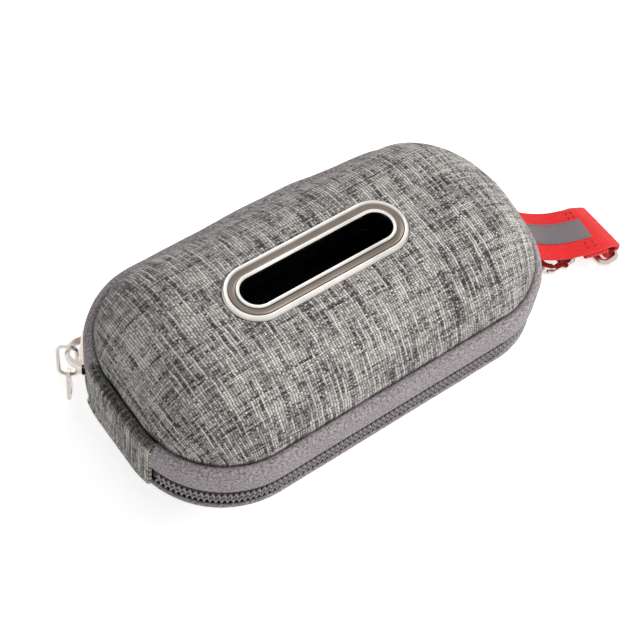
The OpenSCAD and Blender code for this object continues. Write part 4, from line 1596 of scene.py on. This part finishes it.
    def tab(self) -> bpy.types.Object:
        """Folded tab that holds the ring, in the red webbing darkened as painted shade.

        Returns:
            The new piece.
        """
        z, wrap = self.tab_z, self.ring_wire / 2 + self.tab_thick / 2 + self.clear
        bend = self._bend(self.ring_x - self.root_x, self.ring_z, wrap, (15, -35, -90, -145, -195))
        ahead = self._from_seam(z, ((2.6, -0.2), (6, -2.6), (8.6, -6.6)))
        back = self._from_seam(z, ((5, -6.6), (3.2, -2.9), (1.9, -1.3)))
        route = [(0.1, z)] + ahead + bend + back + [(0.1, z - 1.15)]
        piece = self._band(
            "red_tab_in_painted_shade", smooth_path(route, 8), self.width, self.tab_thick, 0.0, self.finish.red_painted_shade, False
        )
        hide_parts("ring_tab")
        return piece


@dataclass
class Interior:
    """Foam, lining and binding tape inside the lid and the base."""

    shape: CaseShape
    finish: FinishSet
    cover: float = 0.8
    foam: float = 2.4
    lining: float = 0.5
    binding: float = 0.4
    gap: float = 5.0
    turn_in: float = 3.0
    tuck: float = 1.7
    hole: float = 0.92
    columns: int = 320

    def __post_init__(self) -> None:
        """Adds up the layers."""
        self.wall = self.cover + self.foam
        self.inner = self.wall + self.lining
        self.s = np.linspace(0, self.shape.round_trip, self.columns, endpoint=False)

    def build(self) -> list[bpy.types.Object]:
        """Both halves, from the foam to the tape on the edge.

        Returns:
            The pieces.
        """
        c = self.shape
        cover, gap, s, pieces = self.cover + 0.04, self.gap, self.s, []
        lid = self._padded(c.dome(s, cover, gap + 0.05, self.hole))
        base = c.basin(s, cover, -gap - 0.05)
        lid_in = self._padded(c.dome(s, self.inner, gap + 0.02, self.hole))
        base_in = c.basin(s, self.inner, -gap - 0.02)
        foam = (self.finish.foam, "foam", self.foam - 0.08)
        cloth = (self.finish.lining, "lining", self.lining - 0.06)
        for name, rows, body, node, (material, slot, thick), flip in (
            ("lid_foam", lid, "lid", "lid_shell", foam, True),
            ("base_foam", base, "base", "base_shell", foam, False),
            ("lid_cloth_inside", self._wrinkled(lid_in), "lid", "lid_lining", cloth, False),
            ("base_cloth_inside", self._wrinkled(base_in), "base", "base_lining", cloth, True),
        ):
            pieces.append(self._sheet(name, rows, body, node, material, slot, flip, thick))
        return pieces + [self.lid_tape(), self.base_tape()]

    def _padded(self, rows: Array) -> Array:
        """Moves the lid's layers with the padding of its crown.

        Args:
            rows: Rows by columns by xyz, in millimetres.

        Returns:
            The moved rows.
        """
        _, out = self.shape.stations(self.s)
        rows = rows.copy()
        rows[..., :2] += self.shape.padding(rows)[..., None] * out[None]
        return rows

    def _wrinkled(self, rows: Array) -> Array:
        """Shallow puckers on the side walls: sines along the outline that fade in and out over the height.

        Args:
            rows: Rows by columns by xyz, in millimetres.

        Returns:
            The moved rows.
        """
        _, out = self.shape.stations(self.s)
        t = np.linspace(0, 1, len(rows))
        fade = np.sin(np.pi * np.clip(t / 0.55, 0, 1)) ** 2
        wave = ripple(self.s, ((9.7, 0.06, 0.2), (14.3, 0.09, 1.4), (5.9, 0.04, 3.0))) + 0.02
        rows = rows.copy()
        rows[..., :2] += (fade[:, None] * np.minimum(wave, 0.02)[None])[..., None] * out[None]
        return rows

    def _sheet(
        self, name: str, rows: Array, body: str, node: str, material: bpy.types.Material, slot: str,
        flip: bool, thick: float,
    ) -> bpy.types.Object:
        """Closes rows round the outline, gives them their thickness and lets them stand for their node.

        Args:
            name: Name of the piece.
            rows: Rows by columns by xyz, in millimetres.
            body: The body that it rides on.
            node: The node that it replaces.
            material: Its finish.
            slot: Not used.
            flip: Whether to turn the faces over.
            thick: Its thickness.

        Returns:
            The new piece.
        """
        uv = np.stack(np.meshgrid(np.append(self.s, self.shape.round_trip), np.arange(len(rows)) * 1.0), -1)
        piece = surface(name, rows, uv, material, body, wrap_cols=True, flip=flip)
        weld(piece, 0.01)
        thicken(piece, thick)
        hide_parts(node)
        return piece

    def _tape(self, name: str, profile: Array, body: str, node: str, flip: bool) -> bpy.types.Object:
        """Carries the tape's face round the outline, with a slight waver where it is eased round the corners.

        Args:
            name: Name of the piece.
            profile: Rows of (inset, height from the zip).
            body: The body that it rides on.
            node: The node that it replaces.
            flip: Whether to turn the faces over.

        Returns:
            The new piece.
        """
        points = self.shape.carry(self.s, profile)
        waver = 0.03 * np.sin(self.s * 2 * np.pi / 3.7)[None]
        points[..., 2] += waver * np.linspace(0, 1, len(profile))[:, None]
        run = arc_length(profile)
        uv = np.stack(np.meshgrid(np.append(self.s, self.shape.round_trip), run), -1)
        piece = surface(name, points, uv, self.finish.binding, body, wrap_cols=True, flip=flip)
        thicken(piece, self.binding - 0.04)
        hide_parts(node)
        return piece

    def lid_tape(self) -> bpy.types.Object:
        """Under the foam's edge, round its inner corner and up over the lining.

        Returns:
            The new piece.
        """
        c = self.shape
        u = c.crown_u - c.crown_r + self.inner + self.binding
        bend = np.radians(np.linspace(-90, 0, 7))
        low = self.gap - self.binding
        corner = np.stack([u - 0.5 + 0.5 * np.cos(bend), low + 0.5 + 0.5 * np.sin(bend)], -1)
        flat = np.linspace([self.tuck + 0.1, low], corner[0], 6)[:-1]
        rise = np.linspace(corner[-1], [u, min(self.gap + self.turn_in, c.crown_z)], 5)[1:]
        return self._tape("lid_edge_tape", np.vstack([flat, corner, rise]), "lid", "lid_binding", False)

    def base_tape(self) -> bpy.types.Object:
        """Over the foam's edge, round its inner corner and down over the lining.

        Returns:
            The new piece.
        """
        c = self.shape
        lean = 1 / math.cos(c.slope)
        top, low = -self.gap + self.binding, -self.gap - self.turn_in
        inner = (self.inner + self.binding) * lean
        start = [float(c.base_line(top)) + (self.tuck + 0.1) * lean, top]
        edge = float(c.base_line(top)) + inner
        z = np.linspace(top - 0.45, low, 6)
        down = np.stack([c.base_line(z) + inner, z], -1)
        flat = np.linspace(start, [edge - 0.5, top], 6)
        profile = np.vstack([flat, [[edge - 0.1, top - 0.12]], down])
        return self._tape("base_edge_tape", profile, "base", "base_binding", True)


@dataclass
class BagRoll:
    """Black film bags wound on a card core."""

    finish: FinishSet
    length: float = 62.0
    radius: float = 16.0
    core: float = 6.5
    middle_z: float = 20.0

    def build(self) -> bpy.types.Object:
        """Film from the core out over one end, along the roll, back over the other end and through.

        Each ring's radius lies under the roll's own by a spiral step, which leaves the film's loose edge
        along the roll, and by crinkles: products of sines of the turn and of the place along the roll.
        The ends show the layers as a fine wave over the radius that turns with the spiral.

        Returns:
            The new piece.
        """
        turn = np.linspace(0, 2 * np.pi, 260, endpoint=False)[None]
        share = np.linspace(0, 1, 34)[:, None]
        half = self.length / 2
        x = np.linspace(-half + 0.25, half - 0.25, 150)[:, None]
        spiral = 0.28 * np.mod(turn - 2.2, 2 * np.pi) / (2 * np.pi)
        crinkle = np.sin(5 * turn + x / 2.9) * np.sin(x / 1.7 + 2 * np.sin(3 * turn))
        crinkle = crinkle + 0.6 * np.sin(11 * turn - x / 1.3 + np.sin(x / 5))
        fine = np.sin(23 * turn + x * 1.9 + 2 * np.sin(x / 2.3 + turn))
        fine = fine * np.sin(x / 0.9 + 4 * np.sin(2 * turn))
        skin = self.radius - 0.5 + spiral + 0.11 * crinkle + 0.04 * fine
        face_r = self.core + 0.05 + share * (skin[:1] - self.core - 0.05)
        left = -half + 0.3 + self._windings(face_r, turn, 1, 3, 0.0) + 0.12 * (1 - share)
        face_2 = self.core + 0.05 + share[::-1] * (skin[-1:] - self.core - 0.05)
        right = half - 0.3 - self._windings(face_2, turn, -1, 4, 1.0) - 0.12 * (1 - share[::-1])
        r = np.concatenate([face_r, skin, face_2])
        across = np.concatenate([left, np.broadcast_to(x, skin.shape), right])
        points = np.stack([across, r * np.sin(turn), self.middle_z + r * np.cos(turn)], -1)
        along, around = (np.linspace(0, 100, count + 1) for count in points.shape[:2])
        uv = np.stack(np.meshgrid(around, along), -1)
        piece = surface("wound_film", points, uv, self.finish.film, "roll", wrap_rows=True, wrap_cols=True)
        weld(piece, 0.0005, outward=True)
        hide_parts("bag_roll")
        return piece

    @staticmethod
    def _windings(r: Array, turn: Array, way: int, lobes: int, start: float) -> Array:
        """How far the film's edges stand in at one end: a spiral of one winding each 0.62 mm, on a slow wave.

        Args:
            r: Distances from the roll's middle line.
            turn: Angles round it.
            way: 1 or -1, the way that the spiral runs.
            lobes: Waves in one turn.
            start: Angle that the spiral starts at.

        Returns:
            The distance at each radius and angle.
        """
        spiral = np.sin(2 * np.pi * (r / 0.62 + way * turn / (2 * np.pi)) + start)
        return 0.16 * spiral + 0.1 * np.sin(lobes * turn + way * r)


class PlainNodes:
    """CAD pieces whose shape is kept, each with its finish."""

    def __init__(self, frame: dict, finish: FinishSet) -> None:
        """Pairs nodes with finishes."""
        self.nodes = frame["nodes"]
        plated = (
            "slider_body", "slider_crown", "pull_link", "pull_leaf", "tab_ring", "swivel_eye", "hook_body",
            "hook_gate",
        )
        self.table = {name: finish.nickel for name in plated}
        self.table |= {
            "rim_backing_plate": finish.dull_steel, "gate_pin": finish.dull_steel, "roll_core": finish.card
        }

    def dress(self) -> None:
        """Puts each finish on its node."""
        for name, material in self.table.items():
            slots = self.nodes[name].data.materials
            slots.clear()
            slots.append(material)


# ---------------------------------------------------------------- studio


class Lamp(NamedTuple):
    """One area light: power in watts, size and place in metres, and what it lights."""

    name: str
    power: float
    size: float
    place: tuple[float, float, float]
    diffuse: float = 1.0
    glossy: bool = False


@dataclass
class Studio:
    """Pale floor, soft light and the camera at the photograph's viewing angle."""

    bearing: float = -45.13
    height: float = 55.87
    distance: float = 340.45
    focal_px: float = 1457.1
    roll: float = 10.49
    centre_px: tuple[float, float] = (317.65, 314.36)
    frame_px: tuple[float, float] = (627.0, 630.0)
    target_z: float = 24.5
    sensor: float = 36.0
    lamp_aim: float = 0.02
    sky_front: float = 0.78
    sky_back: float = 0.14
    lamps: tuple[Lamp, ...] = (
        Lamp("key", 5.0, 0.5, (0.62, -0.2, 0.56)),
        Lamp("fill", 0.8, 0.6, (-0.3, -0.6, 0.5)),
        Lamp("back", 1.0, 0.5, (0.1, 0.6, 0.5), 0.15, True),
    )

    def build(self) -> None:
        """Floor, light and camera."""
        self._camera()
        self._floor()
        self._lights()
        bpy.context.scene.view_settings.view_transform = "Standard"

    def _camera(self) -> None:
        """Camera from its bearing, height and roll; the picture's optical axis is set by a small shift."""
        a, e, r = (math.radians(v) for v in (self.bearing, self.height, self.roll))
        back = Vector((math.sin(a) * math.cos(e), -math.cos(a) * math.cos(e), math.sin(e)))
        right = Vector((math.cos(a), math.sin(a), 0))
        up = back.cross(right)
        across = right * math.cos(r) + up * math.sin(r)
        upward = up * math.cos(r) - right * math.sin(r)
        data = bpy.data.cameras.new("camera")
        data.sensor_fit = "HORIZONTAL"
        data.sensor_width = self.sensor
        data.lens = self.focal_px / self.frame_px[0] * self.sensor
        data.shift_x = (self.frame_px[0] / 2 - self.centre_px[0]) / self.frame_px[0]
        data.shift_y = (self.centre_px[1] - self.frame_px[1] / 2) / self.frame_px[0]
        data.clip_start = 0.01
        camera = bpy.data.objects.new("camera", data)
        place = Vector((0, 0, self.target_z)) * MM + back * self.distance * MM
        turn = Matrix((across, upward, back)).transposed()
        camera.matrix_world = Matrix.Translation(place) @ turn.to_4x4()
        bpy.context.scene.collection.objects.link(camera)
        bpy.context.scene.camera = camera

    def _floor(self) -> None:
        """A wide flat floor, whose colour is near white."""
        mesh = bpy.data.meshes.new("floor")
        mesh.from_pydata([(-2, -2, 0), (2, -2, 0), (2, 2, 0), (-2, 2, 0)], [], [(0, 1, 2, 3)])
        floor = bpy.data.objects.new("floor", mesh)
        floor.location = (0, 0, -0.0002)
        bpy.context.scene.collection.objects.link(floor)
        material = bpy.data.materials.new("white floor")
        material.use_nodes = True
        g = Graph(material.node_tree)
        shader = g.add("ShaderNodeBsdfDiffuse", {"Color": (0.93, 0.93, 0.93)})
        bright = g.add("ShaderNodeEmission", {"Color": (1.0, 1.0, 1.0), "Strength": 0.55})
        rays = g.add("ShaderNodeLightPath")
        seen = g.math("MAXIMUM", rays.outputs["Is Camera Ray"], rays.outputs["Is Glossy Ray"])
        both = g.add("ShaderNodeAddShader", {0: shader.outputs[0], 1: bright.outputs[0]})
        pick = g.add("ShaderNodeMixShader", {0: seen, 1: shader.outputs[0], 2: both.outputs[0]})
        g.add("ShaderNodeOutputMaterial", {"Surface": pick.outputs[0]})
        mesh.materials.append(material)

    def _lights(self) -> None:
        """A pale sky that is brighter in front, and the lamps."""
        world = bpy.data.worlds.new("studio")
        world.use_nodes = True
        g = Graph(world.node_tree)
        rays = g.add("ShaderNodeLightPath")
        seen = g.math(
            "MAXIMUM", rays.outputs["Is Camera Ray"],
            g.math("MAXIMUM", rays.outputs["Is Transmission Ray"], rays.outputs["Is Glossy Ray"]),
        )
        _, depth, _ = g.parts(g.add("ShaderNodeTexCoord").outputs["Generated"])
        sky = g.spread(depth, -0.5, 0.5, self.sky_front, self.sky_back)
        strength = g.plus(g.times(seen, g.minus(1.0, sky)), sky)
        g.add(
            "ShaderNodeOutputWorld",
            {"Surface": g.add("ShaderNodeBackground", {"Color": (1, 1, 1), "Strength": strength}).outputs[0]},
        )
        bpy.context.scene.world = world
        for lamp in self.lamps:
            data = bpy.data.lights.new(lamp.name, "AREA")
            data.energy, data.size, data.diffuse_factor = lamp.power, lamp.size, lamp.diffuse
            light = bpy.data.objects.new(lamp.name, data)
            light.visible_glossy = lamp.glossy
            light.location = lamp.place
            toward = Vector(lamp.place) - Vector((0, 0, self.lamp_aim))
            light.rotation_euler = toward.to_track_quat("Z", "Y").to_euler()
            bpy.context.scene.collection.objects.link(light)


# ---------------------------------------------------------------- everything together


def main() -> None:
    """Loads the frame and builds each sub-assembly."""
    logging.basicConfig(level=logging.INFO, format="%(name)s: %(message)s")
    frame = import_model()
    finish = FinishSet()
    shape = CaseShape()
    PlainNodes(frame, finish).dress()
    pieces = CrownAndBowl(shape, finish).build() + SideBands(shape, finish).build()
    pieces += CoilZip(shape, finish).build()
    pieces.append(SlotRim(shape, finish).build())
    pieces += StrapEnd(shape, finish).build() + Interior(shape, finish).build()
    pieces.append(BagRoll(finish).build())
    Studio().build()
    for piece in pieces:
        LOG.info("%s: %d faces", piece.name, len(piece.data.polygons))


if __name__ == "__main__":
    main()
